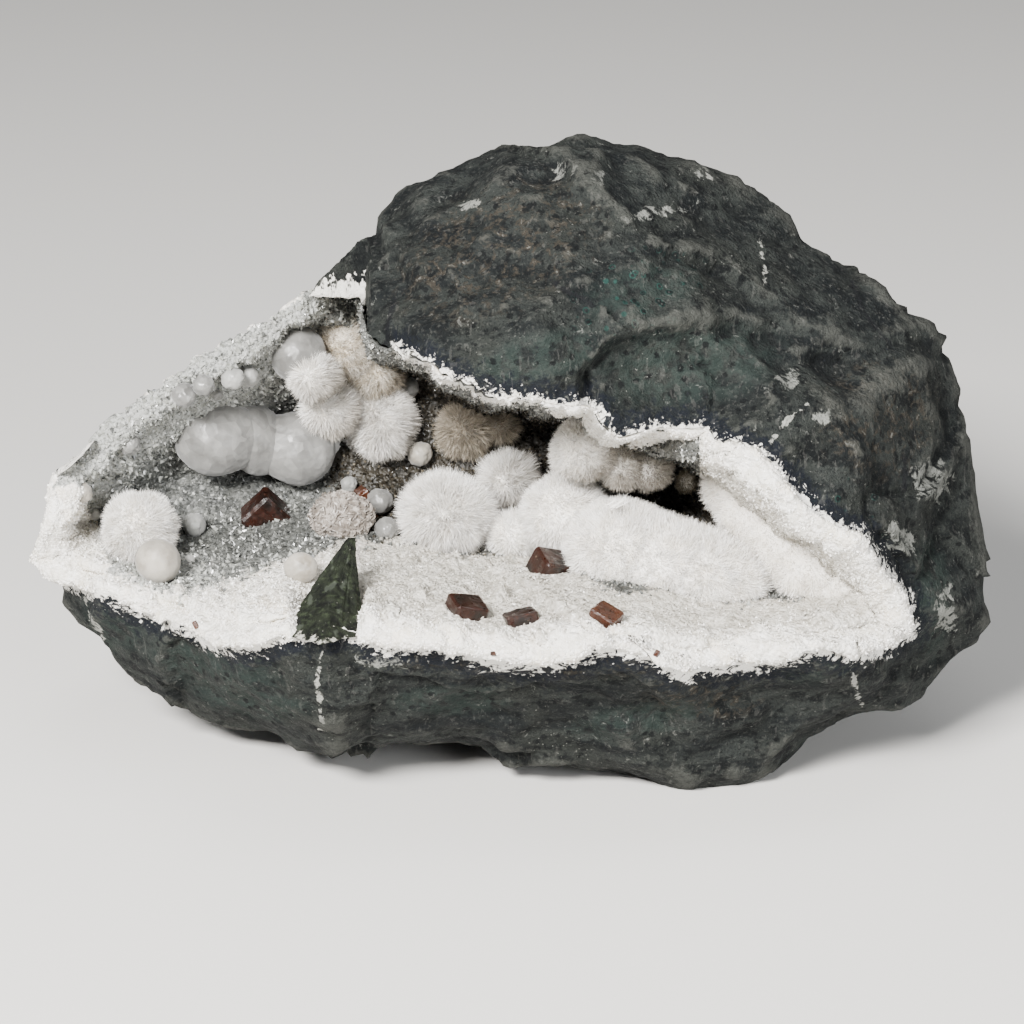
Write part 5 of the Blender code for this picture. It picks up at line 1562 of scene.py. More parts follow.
LOBES = {
    "okenite_left": [(-69.9, 40.0, 7.0)],
    "okenite_upper": [(-31.4, 74.2, 7.4, 7.4, 6.0, -4.0), (-25.6, 70.0, 5.6, 5.6, 5.0, -3.0)],
    "okenite_twin": [(-37.0, 68.6, 4.7, 4.7, 6.0, -13.0), (-34.0, 62.8, 5.3, 5.3, 5.3, -5.0)],
    "okenite_streaked": [(-24.4, 60.6, 5.8, 7.4, 5.8)],
    "okenite_deep": [(-8.5, 58.6, 5.3, 5.3, 5.3, 2.0), (-2.0, 59.6, 3.6, 3.6, 3.6, 2.0)],
    "okenite_centre": [(-12.0, 42.7, 8.6, 7.6, 8.0)],
    "okenite_behind": [(-0.4, 49.3, 5.3)],
    "okenite_cluster": [
        (0.0, 38.5, 4.8, 4.8, 5.2, -13.0), (10.0, 43.0, 7.8, 7.8, 8.0, -15.0),
        (20.5, 35.4, 10.3, 10.3, 11.0, -21.0), (29.0, 32.7, 9.3, 9.3, 11.0, -24.0),
        (36.0, 31.0, 8.6, 8.6, 10.0, -25.0), (42.0, 29.6, 6.8, 6.8, 8.0, -25.0),
    ],
    "okenite_roof": [
        (13.7, 55.0, 6.2, 6.2, 6.2, -24.0), (20.7, 51.8, 4.4, 4.4, 5.5, -20.0), (26.3, 51.4, 4.4, 4.4, 5.5, -18.0),
    ],
    "okenite_bead": [(33.1, 48.9, 2.1)],
    "okenite_right": [
        (41.8, 48.6, 6.0, 6.0, 6.4, -22.0), (45.6, 43.8, 7.6, 7.6, 7.6, -23.0),
        (51.6, 38.8, 8.4, 8.4, 7.8, -25.0), (56.8, 33.0, 8.6, 8.0, 7.8, -27.0),
        (62.6, 29.2, 6.6, 6.2, 6.6, -29.0),
    ],
}
# hairs, their length, how far they lean to one side (across, up, towards the
# eye) and their scatter
FUR = {
    "okenite_left": (17000, 1.5, (0.2, 0.1, 0.0), 0.34),
    "okenite_upper": (26000, 1.7, (0.1, -0.2, 0.0), 0.42),
    "okenite_twin": (16000, 1.7, (0.65, 0.35, 0.0), 0.28),
    "okenite_streaked": (24000, 2.2, (0.35, 0.15, 0.0), 0.34),
    "okenite_deep": (12000, 2.0, (0.3, 0.4, 0.0), 0.40),
    "okenite_centre": (26000, 2.5, (0.0, 0.1, 0.0), 0.34),
    "okenite_behind": (10000, 2.2, (0.2, 0.4, 0.0), 0.36),
    "okenite_cluster": (100000, 1.5, (0.0, 0.15, 0.0), 0.36),
    "okenite_roof": (20000, 1.2, (0.0, -0.1, 0.0), 0.36),
    "okenite_bead": (1800, 0.7, (0.0, 0.0, 0.0), 0.36),
    "okenite_right": (30000, 1.25, (-0.15, 0.1, 0.0), 0.55),
}


def blended(p, out, lobes, own, k):
    """Fills the creases between lobes that touch."""
    for j, other in enumerate(lobes):
        if j == own:
            continue
        q = p - other.middle
        q = np.stack([q[:, 0], q[:, 1] * COS - q[:, 2] * SIN, q[:, 1] * SIN + q[:, 2] * COS], -1)
        far = (np.sqrt(((q / other.size) ** 2).sum(1)) - 1.0) * other.size.mean()
        h = np.clip(1.0 - np.abs(far) / k, 0.0, 1.0)
        p = p + out * (0.25 * k * h * h)[:, None]
    return p


JOIN = {"okenite_twin": 0.8, "okenite_upper": 1.6, "okenite_deep": 2.0, "okenite_roof": 1.5, "okenite_right": 2.6}
# painted shade: how much darker the hair is coloured on the side turned away from the light at the upper left
SIDE_SHADE = {"okenite_deep": 0.4, "okenite_cluster": 0.2, "okenite_right": 0.25, "okenite_left": 0.5, "okenite_centre": 0.45, "okenite_streaked": 0.7}


def union_mesh(lobes, level, seed, lumpy, swell=0.0, k=0.0):
    """The lobes' surfaces, without the parts inside each other."""
    points, faces, outs, at = [], [], [], 0
    for i, one in enumerate(lobes):
        p, f, out = one.surface(level[i] if isinstance(level, list) else level, seed + i, lumpy, swell)
        hidden = np.zeros(len(p), bool)
        for j, other in enumerate(lobes):
            if i != j:
                hidden |= other.holds(p, 0.5)
        if k:
            p = blended(p, out, lobes, i, k)
        keep = ~hidden[f].all(1)
        points.append(p)
        outs.append(out)
        faces.append(f[keep] + at)
        at += len(p)
    return np.concatenate(points), np.concatenate(faces), np.concatenate(outs)


def tidy(p, tri, extra=()):
    used = np.unique(tri)
    back = np.full(len(p), -1)
    back[used] = np.arange(len(used))
    return p[used], back[tri], [e[used] for e in extra]


def near_room(p, tree, margin):
    """Which points stand free of the crust (in front of it or close to it)."""
    ok = np.ones(len(p), bool)
    for i, q in enumerate(p):
        place, normal, _, far = tree.find_nearest(Vector(q))
        if far is None:
            continue
        behind = (Vector(q) - place).dot(normal) < 0
        if behind and far > margin:
            ok[i] = False
    return ok


def okenite_body(name, lobes, cream=False, waxy=False):
    low, high = ("f4f1ec", "e3ddd2") if not cream else ("ece4d6", "c9bba3")
    if waxy:
        low, high = "efebe3", "ddd6ca"
    # painted shade with brown staining: the deep ball in the cave is coloured much darker
    if name == "okenite_deep":
        low, high = "9a8f7e", "6f6656"
    m = Nodes(name + "_body", Roughness=0.8 if not waxy else 0.5, Sheen_Weight=0.3, Sheen_Roughness=0.4)
    mid = m.noise(300, 3, 0.6)
    base = m.mix(m.range(mid, 0.36, 0.68), rgb(low), rgb(high))
    m.set("Base Color", base)
    fine = m.noise(1300, 4, 0.7)
    m.bump(m.math("ADD", fine, m.math("MULTIPLY", mid, 0.6)), 0.6, 0.5)
    return m.mat


def fur(name, lobes, count, length, way, scatter, cream, seed, fade=None):
    """Tapering hairs on the lobes, one triangle each, with a painted shade value for each hair: higher on the side
    turned away from the light at the upper left.
    """
    rng = np.random.default_rng(seed)
    areas = np.array([(one.size.prod()) ** (2 / 3) for one in lobes])
    spots, outs = [], []
    for i, one in enumerate(lobes):
        n = int(count * 1.25 * areas[i] / areas.sum())
        d = rng.normal(size=(n, 3))
        d /= np.linalg.norm(d, axis=1)[:, None]
        p = lean(d * one.size) + one.middle
        out = lean(d / one.size)
        out /= np.linalg.norm(out, axis=1)[:, None]
        p = p + out * (0.08 * one.size.min() * fbm(p, one.size.min() * 0.8, seed_of(name) + i, 3))[:, None]
        keep = np.ones(n, bool)
        for j, other in enumerate(lobes):
            if j != i:
                keep &= ~other.holds(p, 0.25)
        p = blended(p, out, lobes, i, JOIN.get(name, 5.0))
        # few where no one looks
        u, w, t = drawing(p)
        back = (out @ np.array([0.0, COS, -SIN])) > 0.55
        keep &= ~(back & (rng.random(n) < 0.75))
        spots.append(p[keep])
        outs.append(out[keep])
    p, out = np.concatenate(spots), np.concatenate(outs)
    if len(p) > count:
        pick = rng.permutation(len(p))[:count]
        p, out = p[pick], out[pick]
    k = len(p)
    # tufts: neighbouring hairs lean the same way
    tuft = np.stack([fbm(p, 1.5, 70 + i + seed, 2) for i in range(3)], -1)
    lean_way = lean(np.array([way]))[0]
    d = out + 0.55 * tuft + lean_way[None] * 0.6 + scatter * rng.normal(size=(k, 3))
    d += out * (0.25 + np.maximum(0.0, 0.25 - (d * out).sum(1)))[:, None]
    d /= np.linalg.norm(d, axis=1)[:, None]
    long = length * rng.uniform(0.45, 1.25, k) * (1.0 + 0.35 * fbm(p, 2.2, 90 + seed, 2))
    side = np.cross(d, rng.normal(size=(k, 3)))
    side /= np.linalg.norm(side, axis=1)[:, None] + 1e-12
    wide = rng.uniform(0.045, 0.10, k)[:, None]
    root = p - out * 0.15
    tip = p + d * long[:, None]
    q = np.stack([root - side * wide, root + side * wide, tip], 1).reshape(-1, 3)
    tri = np.arange(3 * k).reshape(-1, 3)
    # painted shade: hairs that face away from the light at the upper left get more of the dark colour
    away = lean(np.array([[-0.62, -0.55, 0.56]]))[0]
    painted_shade = np.clip(0.5 - 0.5 * (out @ away), 0.0, 1.0) * SIDE_SHADE.get(name, 0.9)
    # the roof's lobes from x = 16 mm on get more of the same dark colour
    if name == "okenite_roof":
        painted_shade = painted_shade + 0.5 * step(16.0, 21.0, p[:, 0])
    return q, tri, np.repeat(painted_shade, 3)


def seed_of(name):
    return 20 + sum(ord(c) for c in name) % 50


def fur_material(name, low, high, dark):
    m = Nodes(name, Roughness=0.75, Sheen_Weight=0.3, Sheen_Roughness=0.4)
    mid = m.noise(420, 3, 0.6)
    colour = m.mix(m.range(mid, 0.34, 0.66), rgb(low), rgb(high))
    # painted shade: the third colour darkens the hairs on the side away from the light
    colour = m.mix(m.range(m.attribute("painted_shade"), 0.12, 0.75, 0.0, 0.92), colour, rgb(dark))
    m.set("Base Color", colour)
    return m.mat


# the last colour of each hair material is painted shade for the side away from the light
FUR_WHITE = fur_material("okenite_hair", "f8f6f3", "efebe4", "a59d91")
FUR_CREAM = fur_material("okenite_cream_hair", "f4efe5", "dacfbc", "7d7262")
# dim hair: painted cave shade with brown staining, for the deep ball
FUR_DIM_SHADE_STAIN = fur_material("okenite_shade_stain_hair", "b9ae9d", "8f8472", "4f483c")
FUR_WHITE_LOW = fur_material("okenite_shade_hair", "d3cfc6", "bdb7ad", "8a8378")
FUR_CREAM_LOW = fur_material("okenite_cream_shade_hair", "c0b6a3", "978d78", "625948")
FUR_DIM_SHADE_STAIN_LOW = fur_material("okenite_shade_stain_dark_hair", "7d7464", "5e5749", "3a342a")
FUR_PINK = fur_material("okenite_short_hair", "f6f3ee", "e8e3da", "b5ab9c")


def make_okenite():
    total = 0
    for name, spots in LOBES.items():
        cream = name in ("okenite_upper", "okenite_deep")
        waxy = name == "okenite_right"
        lobes = [Lobe(*spot) for spot in spots]
        big = max(one.size.max() for one in lobes)
        level = 5 if name in ("okenite_right", "okenite_centre") else 4 if big > 3.0 else 3
        count, length, way, scatter = FUR[name]
        for one in lobes:
            one.size = one.size - 0.5 * length
        p, tri, out = union_mesh(lobes, level, seed_of(name), 0.08, k=JOIN.get(name, 5.0))
        p, tri, (out,) = tidy(p, tri, (out,))
        body = mesh_object(name + "_look", p, tri, True, [okenite_body(name, lobes, cream, waxy)])
        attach(body, "root")
        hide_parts(name)
        q, tri, painted_shade = fur(name, lobes, count, length, way, scatter, cream, seed_of(name))
        pair = (FUR_CREAM, FUR_CREAM_LOW) if cream else (FUR_PINK, FUR_PINK) if waxy else (FUR_WHITE, FUR_WHITE_LOW)
        # the deep ball's hair carries painted cave shade and brown staining
        if name == "okenite_deep":
            pair = (FUR_DIM_SHADE_STAIN, FUR_DIM_SHADE_STAIN_LOW)
        if name == "okenite_bead":
            pair = (FUR_CREAM_LOW, FUR_DIM_SHADE_STAIN)
        few = 0.08 if name == "okenite_cluster" else 0.12 if name == "okenite_centre" else 0.2
        dull = (np.random.default_rng(4).random(len(tri)) < few).astype(int)
        hair = mesh_object(name + "_hair", q, tri, False, list(pair), {"painted_shade": painted_shade}, dull)
        flat_map(hair, q)
        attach(hair, "root")
        total += len(tri)
    print("hair", total)


print("okenite")
make_okenite()


# ---------------------------------------------------------- gyrolite, crystals
def waxy_material(name, low, high, rough=0.42, glow=0.3, tint=None):
    m = Nodes(name, Roughness=rough, IOR=1.54, Sheen_Weight=glow, Sheen_Roughness=0.5, Coat_Weight=0.06,
              Coat_Roughness=0.3)
    mid, fine = m.noise(260, 3, 0.6), m.noise(1300, 3, 0.6)
    facet = m.voronoi(520, out="Color")
    split = m.add("ShaderNodeSeparateColor")
    m.tree.links.new(facet, split.inputs[0])
    base = m.mix(m.range(mid, 0.34, 0.68), rgb(low), rgb(high))
    base = m.mix(m.math("MULTIPLY", split.outputs[0], 0.28), base, rgb("a2a19d"))
    if tint:
        base = m.mix(m.range(m.noise(180, 3, 0.5), 0.45, 0.65), base, rgb(tint))
    m.set("Base Color", base)
    m.set("Roughness", m.range(split.outputs[1], 0.0, 1.0, rough - 0.12, rough + 0.2, False))
    height = m.math("ADD", m.math("MULTIPLY", m.voronoi(520, "F1"), 0.7), m.math("MULTIPLY", fine, 0.25))
    m.bump(height, 0.55, 0.35)
    return m.mat


GYROLITE = {
    "gyrolite_cluster": [
        (-55.8, 57.5, 7.5, 7.5, 6.0, -6.0), (-48.1, 57.0, 4.4, 6.8, 5.4, -2.0), (-40.0, 55.1, 7.0, 7.0, 5.0, -1.0),
    ],
    "gyrolite_upper": [(-40.0, 72.8, 5.4, 5.4, 5.4, -11.8)],
    "gyrolite_pair": [(-52.4, 68.3, 2.2), (-49.3, 68.6, 2.1)],
    "gyrolite_rim_a": [(-61.4, 65.0, 2.3)],
    "gyrolite_rim_b": [(-57.7, 67.0, 2.1)],
    "gyrolite_rim_c": [(-71.6, 55.9, 2.0)],
    "gyrolite_rim_d": [(-55.2, 65.2, 1.2)],
    "gyrolite_tip": [(-80.6, 46.8, 2.0)],
    "gyrolite_low": [(-66.4, 34.0, 4.3)],
    "gyrolite_dot": [(-59.6, 40.8, 2.2)],
    "gyrolite_side_a": [(-24.6, 45.2, 2.5)],
    "gyrolite_side_b": [(-23.3, 40.0, 2.3)],
    "gyrolite_side_c": [(-30.5, 48.4, 1.6)],
    "gyrolite_disc": [(-39.5, 32.7, 3.2, 2.9, 1.8)],
    "gyrolite_back_a": [(-17.1, 54.1, 2.4)],
    "gyrolite_back_b": [(-19.0, 66.6, 1.9)],
}


def scaly(p, out, size, amount, seed):
    """Overlapping plates: each cell of the surface is a tilted facet."""
    first, second, mark = cells(p, size, seed)
    edge = np.clip((second - first) * 2.2, 0.0, 1.0)
    return p + out * (amount * (0.55 * mark + 0.5 * edge - 0.4))[:, None]


def make_gyrolite():
    grey = waxy_material("gyrolite", "6d6c69", "52514e")
    warm = waxy_material("gyrolite_warm", "a59e91", "7d7568", 0.55, 0.3)
    bright = waxy_material("gyrolite_bright", "90908c", "6a6a67", 0.5, 0.3)
    for name, spots in GYROLITE.items():
        lobes = [Lobe(*spot) for spot in spots]
        big = max(one.size.max() for one in lobes)
        level = 5 if big > 2.6 else 4
        p, tri, out = union_mesh(lobes, level, seed_of(name), 0.03 if big > 2.6 else 0.12, k=3.5)
        smooth = name in ("gyrolite_low", "gyrolite_disc", "gyrolite_tip")
        if smooth:
            p = p + out * (0.05 * fbm(p, 0.8, 7, 3))[:, None]
        else:
            p = scaly(p, out, 0.8 if big > 2.6 else 0.5, 0.12 if big > 2.6 else 0.20, 51)
        p, tri, _ = tidy(p, tri)
        material = warm if name in ("gyrolite_low", "gyrolite_disc", "gyrolite_tip", "gyrolite_back_a") else (
            bright if name in ("gyrolite_dot", "gyrolite_pair", "gyrolite_side_c") else grey)
        ball = mesh_object(name + "_look", p, tri, True, [material])
        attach(ball, "root")
        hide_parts(name)


def make_rosette():
    """Thin pinkish-brown blades standing out of a flattened ball."""
    one = Lobe(-31.8, 42.3, 6.3, 4.9, 4.2)
    rng = np.random.default_rng(8)
    p, f, out = one.surface(5, 3, 0.06, -0.5)
    blades_p, blades_f, at = [p], [f], len(p)
    k = 520
    d = rng.normal(size=(k, 3))
    d /= np.linalg.norm(d, axis=1)[:, None]
    spot = lean(d * (one.size - 0.6)) + one.middle
    n = lean(d / one.size)
    n /= np.linalg.norm(n, axis=1)[:, None]
    way = n + 0.6 * rng.normal(size=(k, 3))
    way /= np.linalg.norm(way, axis=1)[:, None]
    side, thin = frames(way, rng)
    for i in range(k):
        half, tall, deep = rng.uniform(0.45, 0.95), rng.uniform(0.25, 0.75), 0.10
        ring = []
        for s, up in ((-1.0, -0.4), (-1.05, 0.55), (-0.55, 1.0), (0.5, 1.05), (1.0, 0.6), (1.0, -0.4)):
            ring.append(side[i] * s * half + way[i] * up * tall)
        ring = np.array(ring) + spot[i]
        front, rear = ring + thin[i] * deep, ring - thin[i] * deep
        m = len(ring)
        faces = [(0, j, j + 1) for j in range(1, m - 1)]
        faces += [(m, m + j + 1, m + j) for j in range(1, m - 1)]
        for j in range(m):
            a, b = j, (j + 1) % m
            faces += [(a, m + a, m + b), (a, m + b, b)]
        blades_p.append(np.concatenate([front, rear]))
        blades_f.append(np.array(faces) + at)
        at += 2 * m
    p, tri = np.concatenate(blades_p), np.concatenate(blades_f)
    m = Nodes("rosette", Roughness=0.45, Sheen_Weight=0.2, Sheen_Roughness=0.5, Coat_Weight=0.2, Coat_Roughness=0.3)
    base = m.mix(m.range(m.noise(330, 3, 0.6), 0.36, 0.64), rgb("8d847b"), rgb("6a6158"))
    base = m.mix(m.range(m.noise(900, 3, 0.6), 0.48, 0.66), base, rgb("aca59c"))
    m.set("Base Color", base)
    obj = mesh_object("gyrolite_rosette_look", p, tri, False, [m.mat])
    flat_map(obj, p)
    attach(obj, "root")
    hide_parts("gyrolite_rosette")


def crystal(name, u, w, size, turn, kind, sink=0.35, others=()):
    depth = crust_depth(u, w) - (0.5 - sink) * size[1]
    bm = bmesh.new()
    for du, dw, dims, spin in ((0.0, 0.0, size, turn), *others):
        one = bmesh.new()
        bmesh.ops.create_cube(one, size=1.0)
        bmesh.ops.bevel(one, geom=one.edges[:], offset=0.085, segments=1, affect="EDGES", profile=0.5)
        bmesh.ops.subdivide_edges(one, edges=one.edges[:], cuts=5, use_grid_fill=True)
        bmesh.ops.triangulate(one, faces=one.faces)
        bmesh.ops.scale(one, vec=Vector(dims), verts=one.verts)
        way = Euler([math.radians(a) for a in spin]).to_matrix()
        co = np.array([v.co[:] for v in one.verts])
        n = np.array([v.normal[:] for v in one.verts])
        steps = value_noise(co * np.array([0.6, 0.6, 2.6]) + 9.0, 5)
        co = co - n * (0.10 * np.round(steps * 2.0) / 2.0 + 0.05 * fbm(co, 1.0, 6, 3))[:, None]
        middle = Vector(world(np.float64(u + du), np.float64(w + dw), np.float64(depth)))
        for v, q in zip(one.verts, co):
            v.co = way @ Vector(q) + middle
        scrap = bpy.data.meshes.new("scrap")
        one.to_mesh(scrap)
        one.free()
        bm.from_mesh(scrap)
    bm.verts.index_update()
    p = np.array([v.co[:] for v in bm.verts])
    tri = np.array([[v.index for v in f.verts] for f in bm.faces])
    bm.free()
    obj = mesh_object(name + "_look", p, tri, False, [CRYSTAL[kind]])
    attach(obj, "root")
    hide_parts(name)


def glossy(name, low, high, edge, rough=0.16):
    m = Nodes(name, Roughness=rough, IOR=1.5, Coat_Weight=0.03, Coat_Roughness=0.2, Subsurface_Weight=0.08,
              Subsurface_Scale=0.001)
    mid = m.noise(300, 4, 0.6, 0.6)
    fine = m.noise(1100, 4, 0.65)
    base = m.mix(m.range(mid, 0.36, 0.62), rgb(low), rgb(high))
    base = m.mix(m.range(fine, 0.56, 0.72, 0.0, 0.7), base, rgb(edge))
    base = m.mix(m.range(m.noise(700, 3, 0.6), 0.68, 0.76, 0.0, 0.6), base, rgb("8a7d6b"))
    m.set("Base Color", base)
    m.set("Roughness", m.range(fine, 0.35, 0.7, rough - 0.06, rough + 0.30, False))
    m.bump(m.math("ADD", m.math("MULTIPLY", fine, 0.4), mid), 0.5, 0.35)
    return m.mat


CRYSTAL = {
    "brown": glossy("brown_crystal", "0d0502", "260e05", "3a1a0b", 0.3),
    "amber": glossy("amber_crystal", "241008", "41200f", "573319", 0.26),
    "plates": waxy_material("white_plates", "e8e7e4", "c9c8c5", 0.3, 0.4),
}


def make_crystals():
    crystal("brown_diamond", -45.9, 42.5, (7.6, 5.5, 7.2), (10, 45, 12), "brown")
    crystal("brown_blade", -26.7, 44.6, (2.2, 4.0, 7.0), (-8, -28, 20), "amber")
    crystal("brown_shaded", 7.0, 32.4, (6.0, 6.0, 6.0), (20, 18, 30), "brown", sink=0.2)
    crystal("brown_front_a", -8.5, 24.4, (6.4, 5.5, 4.6), (12, 14, 25), "brown", sink=0.15)
    crystal("brown_front_b", 1.9, 22.8, (5.6, 4.5, 3.2), (-6, -10, 15), "brown", sink=0.15)
    crystal("brown_front_c", 17.7, 23.2, (4.8, 4.5, 3.6), (8, 20, -30), "amber", sink=0.15)
    crystal(
        "white_plates", -32.6, 56.2, (2.3, 1.0, 4.4), (0, 12, 20), "plates", sink=0.1,
        others=((1.7, -0.5, (2.0, 0.9, 2.6), (5, -20, -25)),),
    )


def make_grains():
    """Brown chips, two tiny balls and a tuft of long needles."""
    bm = bmesh.new()
    rng = np.random.default_rng(12)
    for x, y, size in ((196, 625, 1.0), (494, 654, 0.8), (657, 654, 0.9)):
        u, w = px(x, y)
        one = bmesh.new()
        bmesh.ops.create_cube(one, size=1.0)
        bmesh.ops.bevel(one, geom=one.edges[:], offset=0.12, segments=1, affect="EDGES", profile=0.5)
        bmesh.ops.subdivide_edges(one, edges=one.edges[:], cuts=2, use_grid_fill=True)
        bmesh.ops.triangulate(one, faces=one.faces)
        way = Euler([float(a) for a in rng.uniform(-1.0, 1.0, 3)]).to_matrix()
        depth = crust_depth(u, w)
        near, far = world(u, w, np.array([-90.0, 30.0]))
        hit = CRUST_TREE.ray_cast(Vector(near), Vector(far - near).normalized())[0]
        middle = hit if hit is not None else Vector(world(np.float64(u), np.float64(w), np.float64(depth)))
        for v in one.verts:
            q = np.array(v.co[:]) * np.array((1.4, 1.0, 0.9)) * size
            v.co = way @ Vector(q) + middle
        scrap = bpy.data.meshes.new("scrap")
        one.to_mesh(scrap)
        one.free()
        bm.from_mesh(scrap)
    bm.verts.index_update()
    p = np.array([v.co[:] for v in bm.verts])
    tri = np.array([[v.index for v in f.verts] for f in bm.faces])
    bm.free()
    chips = mesh_object("brown_grains", p, tri, False, [CRYSTAL["amber"]])
    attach(chips, "root")
    points, faces, at = [], [], 0
    for x, y, r in ((95, 515, 1.1), (190, 560, 1.0)):
        u, w = px(x, y)
        p, f, out = Lobe(u, w, r, sink=0.3).surface(4, 5, 0.06)
        points.append(p)
        faces.append(f + at)
        at += len(p)
    balls = mesh_object("gyrolite_grains", np.concatenate(points), np.concatenate(faces), True, [waxy_material("gyrolite_tiny", "a9a8a3", "7f7e7a", 0.5, 0.3)])
    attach(balls, "root")
    root = world(np.full(16, px(611, 0)[0]) + rng.normal(size=16) * 0.5, np.full(16, px(0, 507)[1]) + rng.normal(size=16) * 0.4, np.full(16, -29.0) + rng.normal(size=16))
    way = lean(np.stack([np.full(16, 0.78), np.full(16, -0.2), np.full(16, 0.55)], -1) + 0.13 * rng.normal(size=(16, 3)))
    tip = root + way / np.linalg.norm(way, axis=1)[:, None] * rng.uniform(2.6, 4.6, 16)[:, None]
    side = np.cross(tip - root, lean(np.array([[0.0, 1.0, 0.0]])))
    side = side / np.linalg.norm(side, axis=1)[:, None] * 0.07
    q = np.stack([root - side, root + side, tip], 1).reshape(-1, 3)
    needles = mesh_object("okenite_needles", q, np.arange(48).reshape(-1, 3), False, [FUR_WHITE], {"painted_shade": np.zeros(48)})
    flat_map(needles, q)
    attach(needles, "root")


SPUR_FOOT, SPUR_TIP = (-35.6, 22.4, -54.8), (-29.9, 38.4, -43.0)
SPUR_ACROSS, SPUR_ALONG, SPUR_BURIED = 7.4, 8.6, 1.2


def make_spur():
    """The green spur: a ridged cone, striated along its length."""
    around, rows = 120, 60
    a = np.arange(around) / around * 2 * math.pi
    k = np.linspace(0.0, 1.0, rows)
    sector = a / (2 * math.pi) * 10
    ridge = 0.86 + 0.14 * np.abs(((sector + 0.5) % 2) - 1.0) * 1.6
    points = []
    for s in k:
        thin = (1.0 - s) * 1.0 + s * 0.08
        foot_t = SPUR_FOOT[2] + np.sin(a) * ridge * SPUR_ALONG * thin
        foot_w = SPUR_FOOT[1] + (foot_t - SPUR_FOOT[2]) * 0.30 * (1 - s)
        u = (1 - s) * (SPUR_FOOT[0] + 0 * a) + s * SPUR_TIP[0] + np.cos(a) * ridge * SPUR_ACROSS * thin
        w = (1 - s) * foot_w + s * SPUR_TIP[1]
        t = (1 - s) * foot_t + s * (SPUR_TIP[2] + np.sin(a) * 0.5)
        p = world(u, w, t)
        p[:, 2] -= SPUR_BURIED * (1 - s)
        points.append(p)
    p = np.array(points)
    flow = np.stack([np.cos(a) * 5.0, np.sin(a) * 5.0], -1)
    out = p - p.mean(1, keepdims=True)
    out /= np.linalg.norm(out, axis=-1, keepdims=True) + 1e-9
    for i, s in enumerate(k):
        q = np.concatenate([flow, np.full((around, 1), s * 2.2)], 1)
        p[i] += out[i] * (0.42 * (1 - 0.6 * s) * (fbm(q, 0.8, 3, 3) + 0.5 * value_noise(p[i] / 0.7, 4)))[:, None]
    tri = ring_faces(rows, around)
    pts = np.concatenate([p.reshape(-1, 3), p[0].mean(0)[None], p[-1].mean(0)[None]])
    b = (np.arange(around) + 1) % around
    aa = np.arange(around)
    caps = np.concatenate([
        np.stack([b, aa, np.full(around, len(pts) - 2)], -1),
        np.stack([aa + (rows - 1) * around, b + (rows - 1) * around, np.full(around, len(pts) - 1)], -1),
    ])
    height = np.concatenate([np.repeat(k, around), [0.0, 1.0]])
    m = Nodes("celadonite", Roughness=0.7, Specular_IOR_Level=0.2)
    streak = m.noise(520, 4, 0.6, 0.3, ((0.0, -0.28, 0.0), (1.0, 1.0, 0.22)))
    base = m.mix(m.range(streak, 0.36, 0.62), rgb("080a07"), rgb("191d14"))
    base = m.mix(m.range(m.noise(900, 4, 0.65), 0.52, 0.68, 0.0, 0.8), base, rgb("2c3324"))
    base = m.mix(m.range(m.noise(260, 2, 0.5, 0.2, ((0.0, -0.28, 0.0), (2.2, 1.0, 0.2))), 0.60, 0.68, 0.0, 0.2), base, rgb("5f665b"))
    white = m.math("ADD", m.attribute("height"), m.range(m.noise(600, 4, 0.7), 0.3, 0.7, -0.16, 0.16, False))
    base = m.mix(m.range(white, 0.02, -0.05), base, rgb("a9a79d"))
    base = m.mix(m.math("MULTIPLY", m.range(m.voronoi(700), 0.08, 0.05), 0.35), base, rgb("b8b6ac"))
    m.set("Base Color", base)
    m.bump(m.math("ADD", m.math("MULTIPLY", streak, 1.2), m.math("MULTIPLY", m.noise(1400, 3, 0.6), 0.3)), 0.7, 0.6)
    tris = np.concatenate([tri[:, [0, 1, 2]], tri[:, [0, 2, 3]], caps])
    obj = mesh_object("celadonite_spur_look", pts, tris, True, [m.mat], {"height": height})
    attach(obj, "root")
    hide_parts("celadonite_spur")


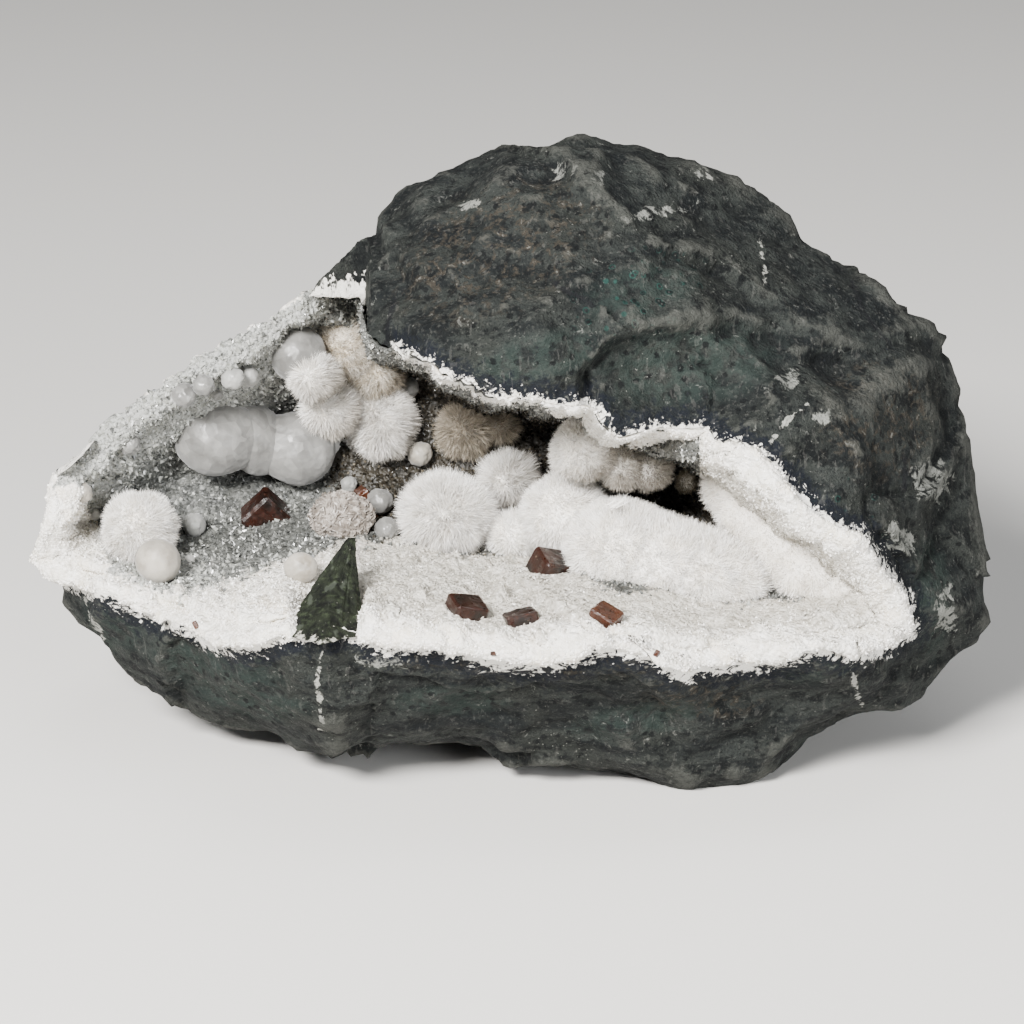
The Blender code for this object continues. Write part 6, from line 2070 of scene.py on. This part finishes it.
print("gyrolite")
make_gyrolite()
make_rosette()
make_crystals()
make_spur()
make_grains()
counts = {o.name: len(o.data.polygons) for o in bpy.data.objects if o.type == "MESH" and not o.hide_render}
print("triangles", sum(counts.values()), sorted(counts.items(), key=lambda pair: -pair[1])[:14])


# --------------------------------------------------------------- light, camera
def point(u, w, t):
    return (world(np.float64(u), np.float64(w), np.float64(t)) - np.array(ORIGIN)) * MM


floor_mat = Nodes("floor", Base_Color=rgb("dcdad6"), Roughness=0.9)
floor = mesh_object(
    "floor", np.array([(-4000, -2500, 0), (4000, -2500, 0), (4000, 5000, 0), (-4000, 5000, 0)], float)
    + np.array([0, 0, -0.02]),
    np.array([[0, 1, 2, 3]]), False, [floor_mat.mat],
)

camera_data = bpy.data.cameras.new("camera")
camera_data.lens, camera_data.sensor_width = 135.0, 36.0
camera = bpy.data.objects.new("camera", camera_data)
bpy.context.scene.collection.objects.link(camera)
camera.location = point(*DRAWING_CENTRE, -EYE)
aim = Vector((0.0, COS, -SIN))
camera.rotation_euler = aim.to_track_quat("-Z", "Y").to_euler()
camera_data.clip_end = 20.0
bpy.context.scene.camera = camera

back_light = bpy.data.worlds.new("room")
bpy.context.scene.world = back_light
back_light.use_nodes = True
back_light.node_tree.nodes["Background"].inputs["Color"].default_value = (0.93, 0.96, 1.0, 1.0)
back_light.node_tree.nodes["Background"].inputs["Strength"].default_value = 0.22


def lamp(name, place, target, size, power, colour=(1.0, 1.0, 1.0)):
    data = bpy.data.lights.new(name, "AREA")
    data.shape, data.size, data.size_y = "RECTANGLE", size, size * 0.7
    data.energy, data.color = power, colour
    obj = bpy.data.objects.new(name, data)
    bpy.context.scene.collection.objects.link(obj)
    obj.location = Vector(place)
    obj.rotation_euler = (Vector(target) - obj.location).to_track_quat("-Z", "Y").to_euler()
    return obj


lamp("key", (-0.36, -0.82, 0.66), (-0.01, 0.0, 0.05), 0.32, 46.0, (1.0, 0.985, 0.965))
lamp("top", (0.05, -0.05, 0.85), (0.0, 0.0, 0.05), 0.50, 1.6, (1.0, 1.0, 1.0))
lamp("fill", (0.60, -0.72, 0.30), (0.0, 0.0, 0.05), 0.45, 7.0, (0.96, 0.98, 1.0))
